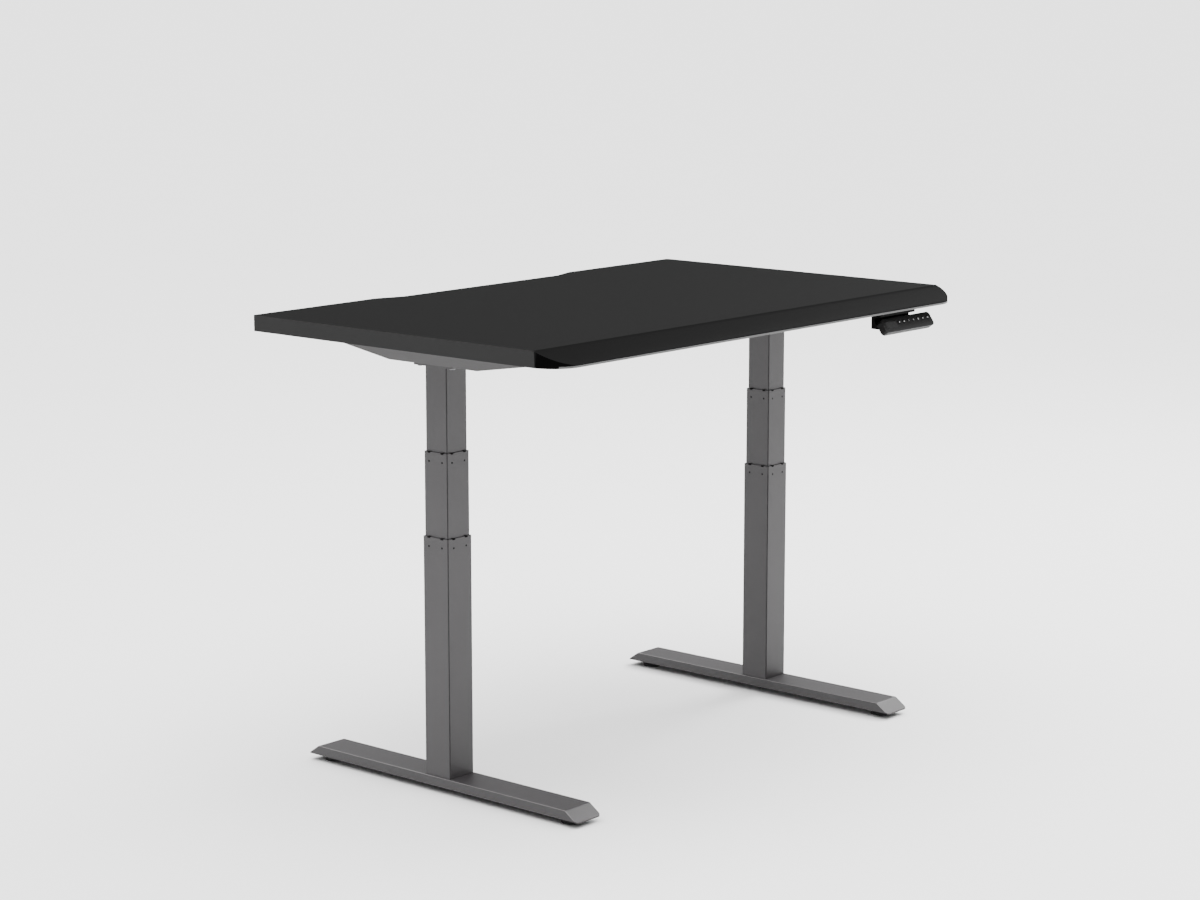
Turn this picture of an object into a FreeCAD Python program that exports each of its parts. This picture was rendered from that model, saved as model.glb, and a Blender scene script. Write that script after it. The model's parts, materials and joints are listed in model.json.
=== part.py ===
"""Height adjustable standing desk: a laminate desktop on two three-stage electric columns.

Millimetres. +X is to the right, +Y to the rear, +Z up. The origin is on the floor, under the
middle of the desktop. Right-hand pieces are built first and mirrored for the left-hand ones.
"""
import FreeCAD, Part
import math
import os

from FreeCAD import Placement, Rotation, Vector

# ---- desktop ----
DESK_WIDTH = 1219.2
DESK_DEPTH = 762.0
DESK_THICKNESS = 30.0
DESK_HEIGHT = 876.0
FRONT_CORNER_RADIUS = 58.0
REAR_CORNER_RADIUS = 6.0
NOSE_DEPTH = 56.0
NOSE_START_ANGLE = 20.0
NOSE_FULLNESS = 0.6
STRIP_HEIGHT = 4.0
STRIP_DEPTH = 5.0
STRIP_WRAP = 14.0
NOTCH_OPENING = 572.0
NOTCH_BOTTOM = 454.0
NOTCH_DEPTH = 20.0

# ---- columns ----
LEG_INSET = 129.6
COLUMN_Y = 6.0
OUTER_SIZE = 64.0
TUBE_WALL = 1.5
TUBE_CORNER = 3.0
OUTER_LENGTH = 455.0
MIDDLE_LENGTH = 450.0
INNER_LENGTH = 440.0
BASE_PLATE = 8.0

# ---- plastic glides between the tubes ----
GLIDE_GAP = 1.0
GLIDE_WIDTH = 40.0
GLIDE_HEIGHT = 48.0
GLIDE_HOOK_WIDTH = 6.0
GLIDE_HOOK_DROP = 2.0
GLIDE_HOOK_THICKNESS = 0.8
PIP_RADIUS = 2.0
PIP_SPREAD = 33.0
PIP_BELOW_RIM = 17.5
PIP_RECESS = 0.1

# ---- clearances ----
RUNNING = 0.05
STATIC = 0.1

# ---- feet ----
FOOT_LENGTH = 690.0
FOOT_MARGIN = 3.0
FOOT_TOP = 31.5
FOOT_FLANGE = 18.0
FOOT_PLATE = 2.5
FOOT_BEND = 8.0
FLAP_REACH = 27.0
FLAP_ANGLE = 34.5
FOOT_CORNER = 2.0
FOOT_TIP_CORNER = 8.0

# ---- levelling feet ----
PAD_SPREAD = 610.0
PAD_RADIUS = 20.0
PAD_HEIGHT = 11.0
PAD_TAPER = 3.0
PAD_POCKET_RADIUS = 7.0
STUD_RADIUS = 4.0
STUD_TOP = 26.0
STUD_FLANGE_RADIUS = 6.5
STUD_FLANGE_HEIGHT = 2.0
STUD_SEAT = 4.0
STUD_NUT_RADIUS = 8.0
STUD_NUT_HEIGHT = 13.0
NUT_WELD = 0.5

# ---- spindle drive inside each column ----
SPINDLE_TUBE_RADIUS = 12.0
SPINDLE_TUBE_WALL = 2.0
SPINDLE_TUBE_LENGTH = 345.0
SPINDLE_FLOOR = 12.0
NUT_HEIGHT = 20.0
NUT_SPIGOT = 12.0
SCREW_RADIUS = 8.0
SCREW_WALL = 2.0
SCREW_LENGTH = 400.0
SCREW_ABOVE_MIDDLE_BOTTOM = 10.0
SCREW_COLLAR = 20.0
ROD_RADIUS = 5.0
ROD_LENGTH = 444.5

# ---- bolts and screws ----
BOLT_RADIUS = 4.0
BOLT_HEAD_RADIUS = 6.5
BOLT_HEAD_HEIGHT = 5.0
COLUMN_BOLT_SPREAD = 40.0
COLUMN_BOLT_LENGTH = 9.0
CENTRE_BOLT_SLEEVE = 22.0
CENTRE_BOLT_REACH = 8.0
SCREW_SHANK_RADIUS = 3.0
SCREW_SHANK_LENGTH = 16.0
SCREW_HEAD_RADIUS = 5.5
SCREW_HEAD_HEIGHT = 3.0

# ---- head of the column and the side bracket ----
HEAD_PLATE_THICKNESS = 3.0
ROD_HOLE_GAP = 2.0
BRACKET_GAP = 4.5
BRACKET_HEIGHT = 38.5
BRACKET_WALL = 2.5
BRACKET_LENGTH = 500.0
BRACKET_FLAT = 222.0
BRACKET_END_HEIGHT = 16.0
LIP_WIDTH = 15.0
LIP_LENGTH = 13.0
LIP_GAP = 6.0
DESK_SCREW_PLACES = (-220.0, -140.0, 140.0, 220.0)

# ---- gearbox and motor ----
GEARBOX_SIZE = 56.0
GEARBOX_FLOOR = 4.5
GEAR_RADIUS = 20.0
GEAR_HEIGHT = 14.0
GEAR_FLOOR_GAP = 6.0
GEAR_TEETH = 24
TOOTH_GAP_RADIUS = 1.3
GEAR_CHAMBER_GAP = 2.0
MOTOR_RADIUS = 26.0
MOTOR_LENGTH = 118.0
MOTOR_GAP = 1.0
MOTOR_NECK_RADIUS = 11.0
MOTOR_NECK_GAP = 0.5
MOTOR_NECK_CLEARANCE = 1.0
MOTOR_STANDOFF = 3.0
MOTOR_STEP = 12.0
MOTOR_STEP_IN = 4.0
MOTOR_GLAND_RADIUS = 5.0
MOTOR_GLAND_LENGTH = 5.0

# ---- cross rails ----
RAIL_WIDTH = 16.0
RAIL_WALL = 1.5
RAIL_MOTOR_GAP = 4.0
RAIL_END_EXPOSED = 115.0
RAIL_END_INSERTION = 100.0
END_PLATE_THICKNESS = 3.0
END_PLATE_REACH = 28.0
END_SCREW_SPREAD = 22.0

# ---- control box ----
BOX_WIDTH = 240.0
BOX_DEPTH = 110.0
BOX_HEIGHT = 34.0
BOX_WALL = 2.2
BOX_BEHIND_COLUMN = 124.0
BOX_CORNER = 5.0
EAR_REACH = 14.0
EAR_ROOT = 2.0
EAR_THICKNESS = 4.0
EAR_LENGTH = 24.0
BOARD_THICKNESS = 1.6
BOARD_BELOW_ROOF = 6.0
BOARD_GAP = 4.0
POST_RADIUS = 4.0
POST_INSET = 20.0
VENT_COUNT = 11
VENT_PITCH = 8.0
VENT_WIDTH = 3.0
VENT_LENGTH = 40.0
LEAD_ENTRY_INSET = 20.0
LEAD_ENTRY_PITCH = 40.0
TRANSFORMER_X = -70.0
TRANSFORMER_SIZE = (40.0, 35.0, 16.0)
HEAT_SINK_SIZE = (60.0, 12.0, 14.0)
CAPACITOR_X = (50.0, 66.0, 82.0)
CAPACITOR_RADIUS = 6.0
CAPACITOR_HEIGHT = 15.0
COMPONENT_ROW = 48.0
INLET_WIDTH = 27.0
INLET_HEIGHT = 19.0
INLET_FLANGE = 2.0
INLET_DEPTH = 15.0
INLET_X = 70.0
INLET_WALL = 2.0
INLET_PINS = ((-6.5, -1.5), (0.0, 2.5), (6.5, -1.5))
INLET_PIN_WIDTH = 1.5
INLET_PIN_HEIGHT = 4.0

# ---- handset ----
HANDSET_WIDTH = 166.0
HANDSET_HEIGHT = 30.0
HANDSET_THICKNESS = 13.0
HANDSET_WALL = 2.0
HANDSET_CORNER = 8.0
HANDSET_INSET = 82.6
HANDSET_SETBACK = 8.8
HANDSET_BELOW = 25.0
HANDSET_TILT = 55.0
MOUNT_WIDTH = 116.0
MOUNT_LIP = 8.0
MOUNT_BACK = 56.0
MOUNT_REAR_HEIGHT = 14.0
MOUNT_FRONT_SETBACK = 6.5
MOUNT_NECK_GAP = 1.7
MOUNT_NECK_DEPTH = 8.0
MOUNT_BLOCK_INSET = 48.0
BUTTON_COUNT = 7
BUTTON_RADIUS = 4.8
BUTTON_PITCH = 16.1
FIRST_BUTTON = -26.4
BUTTON_ROW = 3.0
BUTTON_PROUD = 0.8
BUTTON_FLANGE = 1.0
BUTTON_FLANGE_REACH = 1.2
BUTTON_DEPTH = 5.0
LENS_WIDTH = 36.0
LENS_HEIGHT = 15.0
LENS_THICKNESS = 1.2
LENS_X = -54.0
LENS_CORNER = 1.5
DOME_RADIUS = 3.0
DOME_TOP_RADIUS = 1.5
DOME_HEIGHT = 0.8
HANDSET_BOARD_DEPTH = 7.0

# ---- leads and clips ----
LEAD_RADIUS = 2.5
LEAD_DROP = 4.5
LEAD_BEND = 40.0
MOTOR_LEAD_STRAIGHT = 45.0
MOTOR_LEAD_RUN = 90.0
LEAD_RAIL_GAP = 36.0
BOX_APPROACH = 34.0
HANDSET_LEAD_STRAIGHT = 90.0
HANDSET_LEAD_FALL_START = 130.0
HANDSET_BOX_APPROACH = 20.0
CLIP_LENGTH = 10.0
CLIP_WIDTH = 12.0
CLIP_FLOOR = 1.5
CLIP_SHARES = (0.3, 0.5, 0.7)

# ---- places worked out from the sizes ----
UNDERSIDE = DESK_HEIGHT - DESK_THICKNESS
FOOT_WIDTH = OUTER_SIZE + 2 * FOOT_MARGIN
BRACKET_WIDTH = GEARBOX_SIZE + 2 * (BRACKET_WALL + BRACKET_GAP)
HEAD_PLATE_LENGTH = GEARBOX_SIZE + 2 * (LIP_LENGTH + LIP_GAP)
RAIL_SPREAD = 2 * (MOTOR_RADIUS + RAIL_MOTOR_GAP) + RAIL_WIDTH
LEAD_PAST_RAILS = RAIL_SPREAD / 2 + LEAD_RAIL_GAP
LEG_X = DESK_WIDTH / 2 - LEG_INSET
HEAD_TOP = UNDERSIDE - BRACKET_HEIGHT
HEAD_BOTTOM = HEAD_TOP - HEAD_PLATE_THICKNESS
OUTER_RIM = FOOT_TOP + OUTER_LENGTH
STAGE_EXPOSED = (HEAD_BOTTOM - OUTER_RIM) / 2
MIDDLE_RIM = OUTER_RIM + STAGE_EXPOSED
MIDDLE_BOTTOM = MIDDLE_RIM - MIDDLE_LENGTH
INNER_BOTTOM = HEAD_BOTTOM - INNER_LENGTH
MIDDLE_SIZE = OUTER_SIZE - 2 * (TUBE_WALL + GLIDE_GAP)
INNER_SIZE = MIDDLE_SIZE - 2 * (TUBE_WALL + GLIDE_GAP)
BASE_PLATE_TOP = FOOT_TOP + BASE_PLATE
SPINDLE_TOP = BASE_PLATE_TOP + SPINDLE_TUBE_LENGTH
SCREW_BOTTOM = MIDDLE_BOTTOM + SCREW_ABOVE_MIDDLE_BOTTOM
SCREW_TOP = SCREW_BOTTOM + SCREW_LENGTH
FOOT_UNDER_PLATE = FOOT_TOP - FOOT_PLATE
GEAR_BOTTOM = HEAD_TOP + GEARBOX_FLOOR + GEAR_FLOOR_GAP
GEAR_TOP = GEAR_BOTTOM + GEAR_HEIGHT
MOTOR_Z = UNDERSIDE - MOTOR_GAP - MOTOR_RADIUS
NECK_Z = HEAD_TOP + MOTOR_NECK_GAP + MOTOR_NECK_RADIUS
MOTOR_START = BRACKET_WIDTH / 2 + MOTOR_STANDOFF
MOTOR_END_X = LEG_X - MOTOR_START - MOTOR_LENGTH - MOTOR_GLAND_LENGTH
RAIL_BOTTOM = HEAD_TOP - RAIL_WALL - STATIC
RAIL_HALF = LEG_X - BRACKET_WIDTH / 2 - RAIL_END_EXPOSED
RAIL_END_TOP = UNDERSIDE - RAIL_WALL - STATIC
BOX_FRONT = COLUMN_Y + BOX_BEHIND_COLUMN
BOX_REAR = BOX_FRONT + BOX_DEPTH
BOX_BOTTOM = UNDERSIDE - BOX_HEIGHT
BOX_MIDDLE_Z = BOX_BOTTOM + BOX_HEIGHT / 2
HANDSET_X = DESK_WIDTH / 2 - HANDSET_INSET - HANDSET_WIDTH / 2
HANDSET_Y = -DESK_DEPTH / 2 + HANDSET_SETBACK
HANDSET_Z = UNDERSIDE - HANDSET_BELOW
MOUNT_X = HANDSET_X - HANDSET_WIDTH / 2 + MOUNT_WIDTH / 2
MOUNT_REAR = -DESK_DEPTH / 2 + MOUNT_BACK
LEAD_UNDER_RAIL = RAIL_BOTTOM - LEAD_DROP
LEAD_UNDER_TOP = UNDERSIDE - LEAD_DROP

X_AXIS = Vector(1, 0, 0)
Y_AXIS = Vector(0, 1, 0)
Z_AXIS = Vector(0, 0, 1)
FOUR_FACES = (0, 90, 180, 270)
BOTH_SIDES = (-1, 1)


# ---- shared shapes ----
def block(x_range, y_range, z_range):
    """A block between two limits along each axis."""
    low = Vector(x_range[0], y_range[0], z_range[0])
    return Part.makeBox(x_range[1] - low.x, y_range[1] - low.y, z_range[1] - low.z, low)


def centred(middle, size):
    """The two limits of a size laid evenly about a middle."""
    return middle - size / 2, middle + size / 2


def cylinder(radius, start, end):
    """A round bar from one point to another."""
    along = end - start
    return Part.makeCylinder(radius, along.Length, start, along)


def upright(radius, x, y, low, high):
    """A vertical round bar."""
    return cylinder(radius, Vector(x, y, low), Vector(x, y, high))


def join(shapes):
    """One solid made of pieces that meet or overlap."""
    return shapes[0].multiFuse(shapes[1:]).removeSplitter()


def cut_all(shape, tools):
    """A shape with several tools cut out of it."""
    return shape.cut(Part.makeCompound(tools))


def prism(points, along):
    """A straight-sided solid: an outline pushed along a vector."""
    outline = Part.makePolygon(points + points[:1])
    return Part.Face(outline).extrude(along)


def round_upright_edges(shape, radius):
    """Fillet every edge that runs along Z."""
    edges = [edge for edge in shape.Edges if abs(edge.tangentAt(edge.FirstParameter).z) > 0.999]
    return shape.makeFillet(radius, edges)


def square_bar(size, corner, x, low, high):
    """A square bar with rounded corners, on a column's axis."""
    bar = block(centred(x, size), centred(COLUMN_Y, size), (low, high))
    return round_upright_edges(bar, corner)


def about_column(shape, angle):
    """A copy turned about the right column's axis."""
    turned = shape.copy()
    turned.rotate(Vector(LEG_X, COLUMN_Y, 0), Z_AXIS, angle)
    return turned


def left_of(shape):
    """The left-hand twin of a right-hand piece."""
    return shape.mirror(Vector(0, 0, 0), X_AXIS)


def front_of(shape):
    """The twin on the front side of the columns."""
    return shape.mirror(Vector(0, COLUMN_Y, 0), Y_AXIS)


def rounded_path(points, largest_radius):
    """Straight runs joined by tangent arcs, each as large as its two runs allow."""
    edges = []
    start = points[0]
    for before, corner, after in zip(points, points[1:], points[2:]):
        back = (before - corner).normalize()
        ahead = (after - corner).normalize()
        half_turn = (math.pi - back.getAngle(ahead)) / 2
        shorter = min(before.distanceToPoint(corner), after.distanceToPoint(corner))
        radius = min(largest_radius, 0.45 * shorter / math.tan(half_turn))
        setback = radius * math.tan(half_turn)
        arc_start = corner + back * setback
        arc_end = corner + ahead * setback
        to_centre = (back + ahead).normalize()
        arc_middle = corner + to_centre * (radius / math.cos(half_turn) - radius)
        edges.append(Part.LineSegment(start, arc_start).toShape())
        edges.append(Part.Arc(arc_start, arc_middle, arc_end).toShape())
        start = arc_end
    edges.append(Part.LineSegment(start, points[-1]).toShape())
    return Part.Wire(edges)


def lead(points):
    """A round lead along its route."""
    path = rounded_path(points, LEAD_BEND)
    section = Part.Wire(Part.makeCircle(LEAD_RADIUS, points[0], points[1] - points[0]))
    return path.makePipeShell([section], True, False)


# ---- desktop ----
def plan_outline(inset, low, high):
    """The desktop's plan shape as a plate, drawn in from its edge by an inset."""
    half_width = DESK_WIDTH / 2 - inset
    front = -DESK_DEPTH / 2 + inset
    rear = DESK_DEPTH / 2 - inset
    plate = block((-half_width, half_width), (front, rear), (low, high))
    front_edges = [edge for edge in plate.Edges if is_corner(edge, front)]
    plate = plate.makeFillet(FRONT_CORNER_RADIUS - inset, front_edges)
    rear_edges = [edge for edge in plate.Edges if is_corner(edge, rear)]
    return plate.makeFillet(REAR_CORNER_RADIUS, rear_edges)


def is_corner(edge, y):
    """Whether an edge is one of the upright ones at a given Y."""
    ends = [vertex.Point for vertex in edge.Vertexes]
    return abs(ends[0].y - y) < 0.01 and abs(ends[1].y - y) < 0.01 and abs(ends[0].z - ends[1].z) > 1


def nose_section():
    """The desktop's side profile, with its rounded front, pushed across the full width."""
    left = -DESK_WIDTH / 2
    front = -DESK_DEPTH / 2
    rear = DESK_DEPTH / 2
    crease = Vector(left, front + NOSE_DEPTH, DESK_HEIGHT)
    fall = NOSE_DEPTH * math.tan(math.radians(NOSE_START_ANGLE))
    curve_end = Vector(left, front, UNDERSIDE + STRIP_HEIGHT)
    curve = Part.BezierCurve()
    curve.setPoles([crease, Vector(left, front, DESK_HEIGHT - fall), curve_end])
    curve.setWeight(2, NOSE_FULLNESS)
    corners = [curve_end, Vector(left, front, UNDERSIDE), Vector(left, rear, UNDERSIDE),
               Vector(left, rear, DESK_HEIGHT), crease]
    edges = [Part.LineSegment(a, b).toShape() for a, b in zip(corners, corners[1:])]
    outline = Part.Wire([curve.toShape()] + edges)
    return Part.Face(outline).extrude(Vector(DESK_WIDTH, 0, 0))


def cable_notch():
    """The shallow notch in the rear edge that cables drop through."""
    inner = DESK_DEPTH / 2 - NOTCH_DEPTH
    outer = DESK_DEPTH / 2
    run_out = (NOTCH_OPENING - NOTCH_BOTTOM) / 2 / NOTCH_DEPTH
    wide = NOTCH_OPENING / 2 + run_out
    points = [Vector(-NOTCH_BOTTOM / 2, inner, UNDERSIDE - 1), Vector(NOTCH_BOTTOM / 2, inner, UNDERSIDE - 1),
              Vector(wide, outer + 1, UNDERSIDE - 1), Vector(-wide, outer + 1, UNDERSIDE - 1)]
    return prism(points, Vector(0, 0, DESK_THICKNESS + 2))


def front_strip():
    """The edge strip let into the foot of the rounded front."""
    top = UNDERSIDE + STRIP_HEIGHT
    ring = plan_outline(0, UNDERSIDE, top).cut(plan_outline(STRIP_DEPTH, UNDERSIDE, top))
    half = DESK_WIDTH / 2
    front = -DESK_DEPTH / 2
    return ring.common(block((-half, half), (front, front + STRIP_WRAP), (UNDERSIDE, top)))


def desk_screw_points():
    """Where screws rise through both side brackets into the desktop."""
    return [(side * LEG_X, COLUMN_Y + y) for side in BOTH_SIDES for y in DESK_SCREW_PLACES]


def ear_screw_points():
    """Where screws hold the control box's ears."""
    return [(side * (BOX_WIDTH + EAR_REACH) / 2, BOX_FRONT + BOX_DEPTH / 2) for side in BOTH_SIDES]


def desktop():
    """The board, less its notch, its front strip and its pilot holes."""
    board = nose_section().common(plan_outline(0, UNDERSIDE, DESK_HEIGHT))
    board = board.cut(cable_notch()).cut(front_strip())
    depth = SCREW_SHANK_LENGTH + STATIC
    places = desk_screw_points() + ear_screw_points()
    holes = [upright(SCREW_SHANK_RADIUS + STATIC, x, y, UNDERSIDE - 1, UNDERSIDE + depth) for x, y in places]
    return cut_all(board, holes)


# ---- column tubes ----
def pip_holes(size, rim, radius):
    """Drillings for the glides' pips, two through each face."""
    drillings = []
    reach = size / 2 + 1
    for offset in (-PIP_SPREAD / 2, PIP_SPREAD / 2):
        z = rim - PIP_BELOW_RIM
        x = LEG_X + offset
        y = COLUMN_Y + offset
        drillings.append(cylinder(radius, Vector(LEG_X - reach, y, z), Vector(LEG_X + reach, y, z)))
        drillings.append(cylinder(radius, Vector(x, COLUMN_Y - reach, z), Vector(x, COLUMN_Y + reach, z)))
    return drillings


def square_tube(size, low, high):
    """A rolled square tube on the right column's axis."""
    outer = square_bar(size, TUBE_CORNER, LEG_X, low, high)
    inner = square_bar(size - 2 * TUBE_WALL, TUBE_CORNER - TUBE_WALL, LEG_X, low, high)
    return outer.cut(inner)


def outer_tube():
    """The lowest and widest tube, with its base plate welded in."""
    tube = cut_all(square_tube(OUTER_SIZE, FOOT_TOP, OUTER_RIM), pip_holes(OUTER_SIZE, OUTER_RIM, PIP_RADIUS))
    plate = square_bar(OUTER_SIZE - TUBE_WALL, TUBE_CORNER - TUBE_WALL / 2, LEG_X, FOOT_TOP, BASE_PLATE_TOP)
    holes = [upright(BOLT_RADIUS + RUNNING, x, y, FOOT_TOP, BASE_PLATE_TOP) for x, y in column_bolt_points()]
    return cut_all(join([tube, plate]), holes)


def middle_tube():
    """The middle tube, which slides in the outer one."""
    tube = square_tube(MIDDLE_SIZE, MIDDLE_BOTTOM, MIDDLE_RIM)
    return cut_all(tube, pip_holes(MIDDLE_SIZE, MIDDLE_RIM, PIP_RADIUS))


def inner_tube():
    """The top tube, welded to the head plate."""
    return square_tube(INNER_SIZE, INNER_BOTTOM, HEAD_BOTTOM)


def upper_glide(size, rim):
    """A liner inside a tube's mouth, held by two hooks over the rim with a pip below each."""
    wall_in = LEG_X + size / 2 - TUBE_WALL
    wall_out = LEG_X + size / 2
    thickness = GLIDE_GAP - RUNNING
    liner = block((wall_in - thickness, wall_in), centred(COLUMN_Y, GLIDE_WIDTH), (rim - GLIDE_HEIGHT, rim))
    hook_outside = wall_out + GLIDE_HOOK_THICKNESS
    details = []
    for offset in (-PIP_SPREAD / 2, PIP_SPREAD / 2):
        hook_y = centred(COLUMN_Y + offset, GLIDE_HOOK_WIDTH)
        details.append(block((wall_in - thickness, hook_outside), hook_y, (rim, rim + GLIDE_GAP)))
        details.append(block((wall_out, hook_outside), hook_y, (rim - GLIDE_HOOK_DROP, rim)))
        start = Vector(wall_in - thickness / 2, COLUMN_Y + offset, rim - PIP_BELOW_RIM)
        end = Vector(wall_out - PIP_RECESS, start.y, start.z)
        details.append(cylinder(PIP_RADIUS - RUNNING, start, end))
    return join([liner] + details)


def lower_glide(size, bottom):
    """A liner outside a sliding tube's foot."""
    face = LEG_X + size / 2
    sides = (face, face + GLIDE_GAP - RUNNING)
    return block(sides, centred(COLUMN_Y, GLIDE_WIDTH), (bottom, bottom + GLIDE_HEIGHT))


def on_four_faces(shape):
    """The same piece on each face of the right column."""
    return [about_column(shape, angle) for angle in FOUR_FACES]


def outer_glides():
    """The liners in the mouths of both outer tubes."""
    right = on_four_faces(upper_glide(OUTER_SIZE, OUTER_RIM))
    return Part.makeCompound(right + [left_of(glide) for glide in right])


def middle_glides():
    """The liners in the mouth and round the foot of a middle tube."""
    upper = on_four_faces(upper_glide(MIDDLE_SIZE, MIDDLE_RIM))
    lower = on_four_faces(lower_glide(MIDDLE_SIZE, MIDDLE_BOTTOM))
    return Part.makeCompound(upper + lower)


def inner_glides():
    """The liners round the feet of both inner tubes."""
    right = on_four_faces(lower_glide(INNER_SIZE, INNER_BOTTOM))
    return Part.makeCompound(right + [left_of(glide) for glide in right])


# ---- feet ----
def column_bolt_points():
    """The centre bolt's place and those of the four bolts about it."""
    spread = COLUMN_BOLT_SPREAD / 2
    corners = [(LEG_X + i * spread, COLUMN_Y + j * spread) for i in BOTH_SIDES for j in BOTH_SIDES]
    return [(LEG_X, COLUMN_Y)] + corners


def pad_centres():
    """Where the two levelling feet stand under the right foot, front first."""
    return [COLUMN_Y - PAD_SPREAD / 2, COLUMN_Y + PAD_SPREAD / 2]


def foot_top_line(lowered):
    """The foot's upper surface seen from the side, flat and then bent down at each end."""
    flat = FOOT_LENGTH / 2 - FLAP_REACH
    tip = FOOT_LENGTH / 2
    drop = FLAP_REACH * math.tan(math.radians(FLAP_ANGLE))
    top = FOOT_TOP - lowered
    points = [Vector(0, COLUMN_Y - tip, top - drop), Vector(0, COLUMN_Y - flat, top),
              Vector(0, COLUMN_Y + flat, top), Vector(0, COLUMN_Y + tip, top - drop)]
    return rounded_path(points, FOOT_BEND)


def foot_slab(lowered, width, low):
    """Everything between a lowered copy of the foot's upper surface and a level below it."""
    line = foot_top_line(lowered)
    ends = [line.Vertexes[0].Point, line.Vertexes[-1].Point]
    floor = [Vector(0, end.y, low) for end in ends]
    sides = [Part.LineSegment(ends[0], floor[0]).toShape(), Part.LineSegment(floor[0], floor[1]).toShape(),
             Part.LineSegment(floor[1], ends[1]).toShape()]
    outline = Part.Wire(Part.__sortEdges__(line.Edges + sides))
    slab = Part.Face(outline).extrude(Vector(width, 0, 0))
    slab.translate(Vector(LEG_X - width / 2, 0, 0))
    return slab


def foot_pressing():
    """The foot's bent channel: its web slopes down to each tip, with a flange along each side."""
    outer = foot_slab(0, FOOT_WIDTH, 0)
    outer = outer.makeFillet(FOOT_CORNER, [edge for edge in outer.Edges if is_top_side_edge(edge)])
    under = foot_slab(FOOT_PLATE, FOOT_WIDTH, 0)
    web = outer.cut(under)
    all_along = centred(COLUMN_Y, 2 * FOOT_LENGTH)
    hollow = block(centred(LEG_X, FOOT_WIDTH - 2 * FOOT_PLATE), all_along, (-1, FOOT_TOP))
    below_flanges = block(centred(LEG_X, 2 * FOOT_WIDTH), all_along, (-1, FOOT_TOP - FOOT_FLANGE))
    flanges = cut_all(outer, [hollow, below_flanges])
    return join([web, flanges]).common(foot_outline())


def foot_outline():
    """The foot as seen from above, a tall block with rounded corners."""
    bar = block(centred(LEG_X, FOOT_WIDTH), centred(COLUMN_Y, FOOT_LENGTH), (-1, FOOT_TOP + 1))
    return bar.makeFillet(FOOT_TIP_CORNER, [edge for edge in bar.Edges if abs(edge.tangentAt(0).z) > 0.9])


def is_top_side_edge(edge):
    """Whether an edge follows one side of the foot's upper surface."""
    middle = edge.valueAt((edge.FirstParameter + edge.LastParameter) / 2)
    tangent = edge.tangentAt((edge.FirstParameter + edge.LastParameter) / 2)
    at_side = abs(abs(middle.x - LEG_X) - FOOT_WIDTH / 2) < 0.01
    return at_side and abs(tangent.z) < 0.9 and middle.z > 1


def foot():
    """The pressed steel foot with its welded levelling nuts."""
    nut_low = FOOT_UNDER_PLATE - STUD_NUT_HEIGHT
    nuts = [upright(STUD_NUT_RADIUS, LEG_X, y, nut_low, FOOT_UNDER_PLATE + NUT_WELD) for y in pad_centres()]
    shell = join([foot_pressing()] + nuts)
    threads = [upright(STUD_RADIUS + RUNNING, LEG_X, y, 0, FOOT_UNDER_PLATE) for y in pad_centres()]
    bolt_holes = [upright(BOLT_RADIUS + STATIC, x, y, 0, FOOT_TOP) for x, y in column_bolt_points()]
    return cut_all(shell, threads + bolt_holes)


def foot_bolts():
    """A centre bolt with its sleeve and four plate bolts under each column."""
    bolts = []
    for index, (x, y) in enumerate(column_bolt_points()):
        is_centre = index == 0
        seat = FOOT_UNDER_PLATE
        head_low = seat - (CENTRE_BOLT_SLEEVE + BOLT_HEAD_HEIGHT if is_centre else BOLT_HEAD_HEIGHT)
        tip = BASE_PLATE_TOP + CENTRE_BOLT_REACH if is_centre else seat + COLUMN_BOLT_LENGTH
        head = upright(BOLT_HEAD_RADIUS, x, y, head_low, seat)
        bolts.append(join([head, upright(BOLT_RADIUS, x, y, head_low, tip)]))
    return Part.makeCompound(bolts + [left_of(bolt) for bolt in bolts])


def pad(y):
    """A moulded levelling pad with a pocket that its stud turns in."""
    base = Part.makeCone(PAD_RADIUS, PAD_RADIUS - PAD_TAPER, PAD_HEIGHT, Vector(LEG_X, y, 0))
    low = STUD_SEAT - RUNNING
    high = STUD_SEAT + STUD_FLANGE_HEIGHT + RUNNING
    pocket = upright(PAD_POCKET_RADIUS, LEG_X, y, low, high)
    throat = upright(STUD_RADIUS + 2 * RUNNING, LEG_X, y, high, PAD_HEIGHT)
    return cut_all(base, [pocket, throat])


def stud(y):
    """A levelling stud, with the flange that its pad is moulded round."""
    flange = upright(STUD_FLANGE_RADIUS, LEG_X, y, STUD_SEAT, STUD_SEAT + STUD_FLANGE_HEIGHT)
    return join([flange, upright(STUD_RADIUS, LEG_X, y, STUD_SEAT, STUD_TOP)])


# ---- spindle drive ----
def spindle_tubes():
    """The fixed tube on the floor of each column, which holds the lower nut."""
    outer = upright(SPINDLE_TUBE_RADIUS, LEG_X, COLUMN_Y, BASE_PLATE_TOP, SPINDLE_TOP)
    bore = SPINDLE_TUBE_RADIUS - SPINDLE_TUBE_WALL
    inner = upright(bore, LEG_X, COLUMN_Y, BASE_PLATE_TOP + SPINDLE_FLOOR, SPINDLE_TOP)
    thread = upright(BOLT_RADIUS + RUNNING, LEG_X, COLUMN_Y, BASE_PLATE_TOP, BASE_PLATE_TOP + SPINDLE_FLOOR)
    tube = cut_all(outer, [inner, thread])
    return Part.makeCompound([tube, left_of(tube)])


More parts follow.
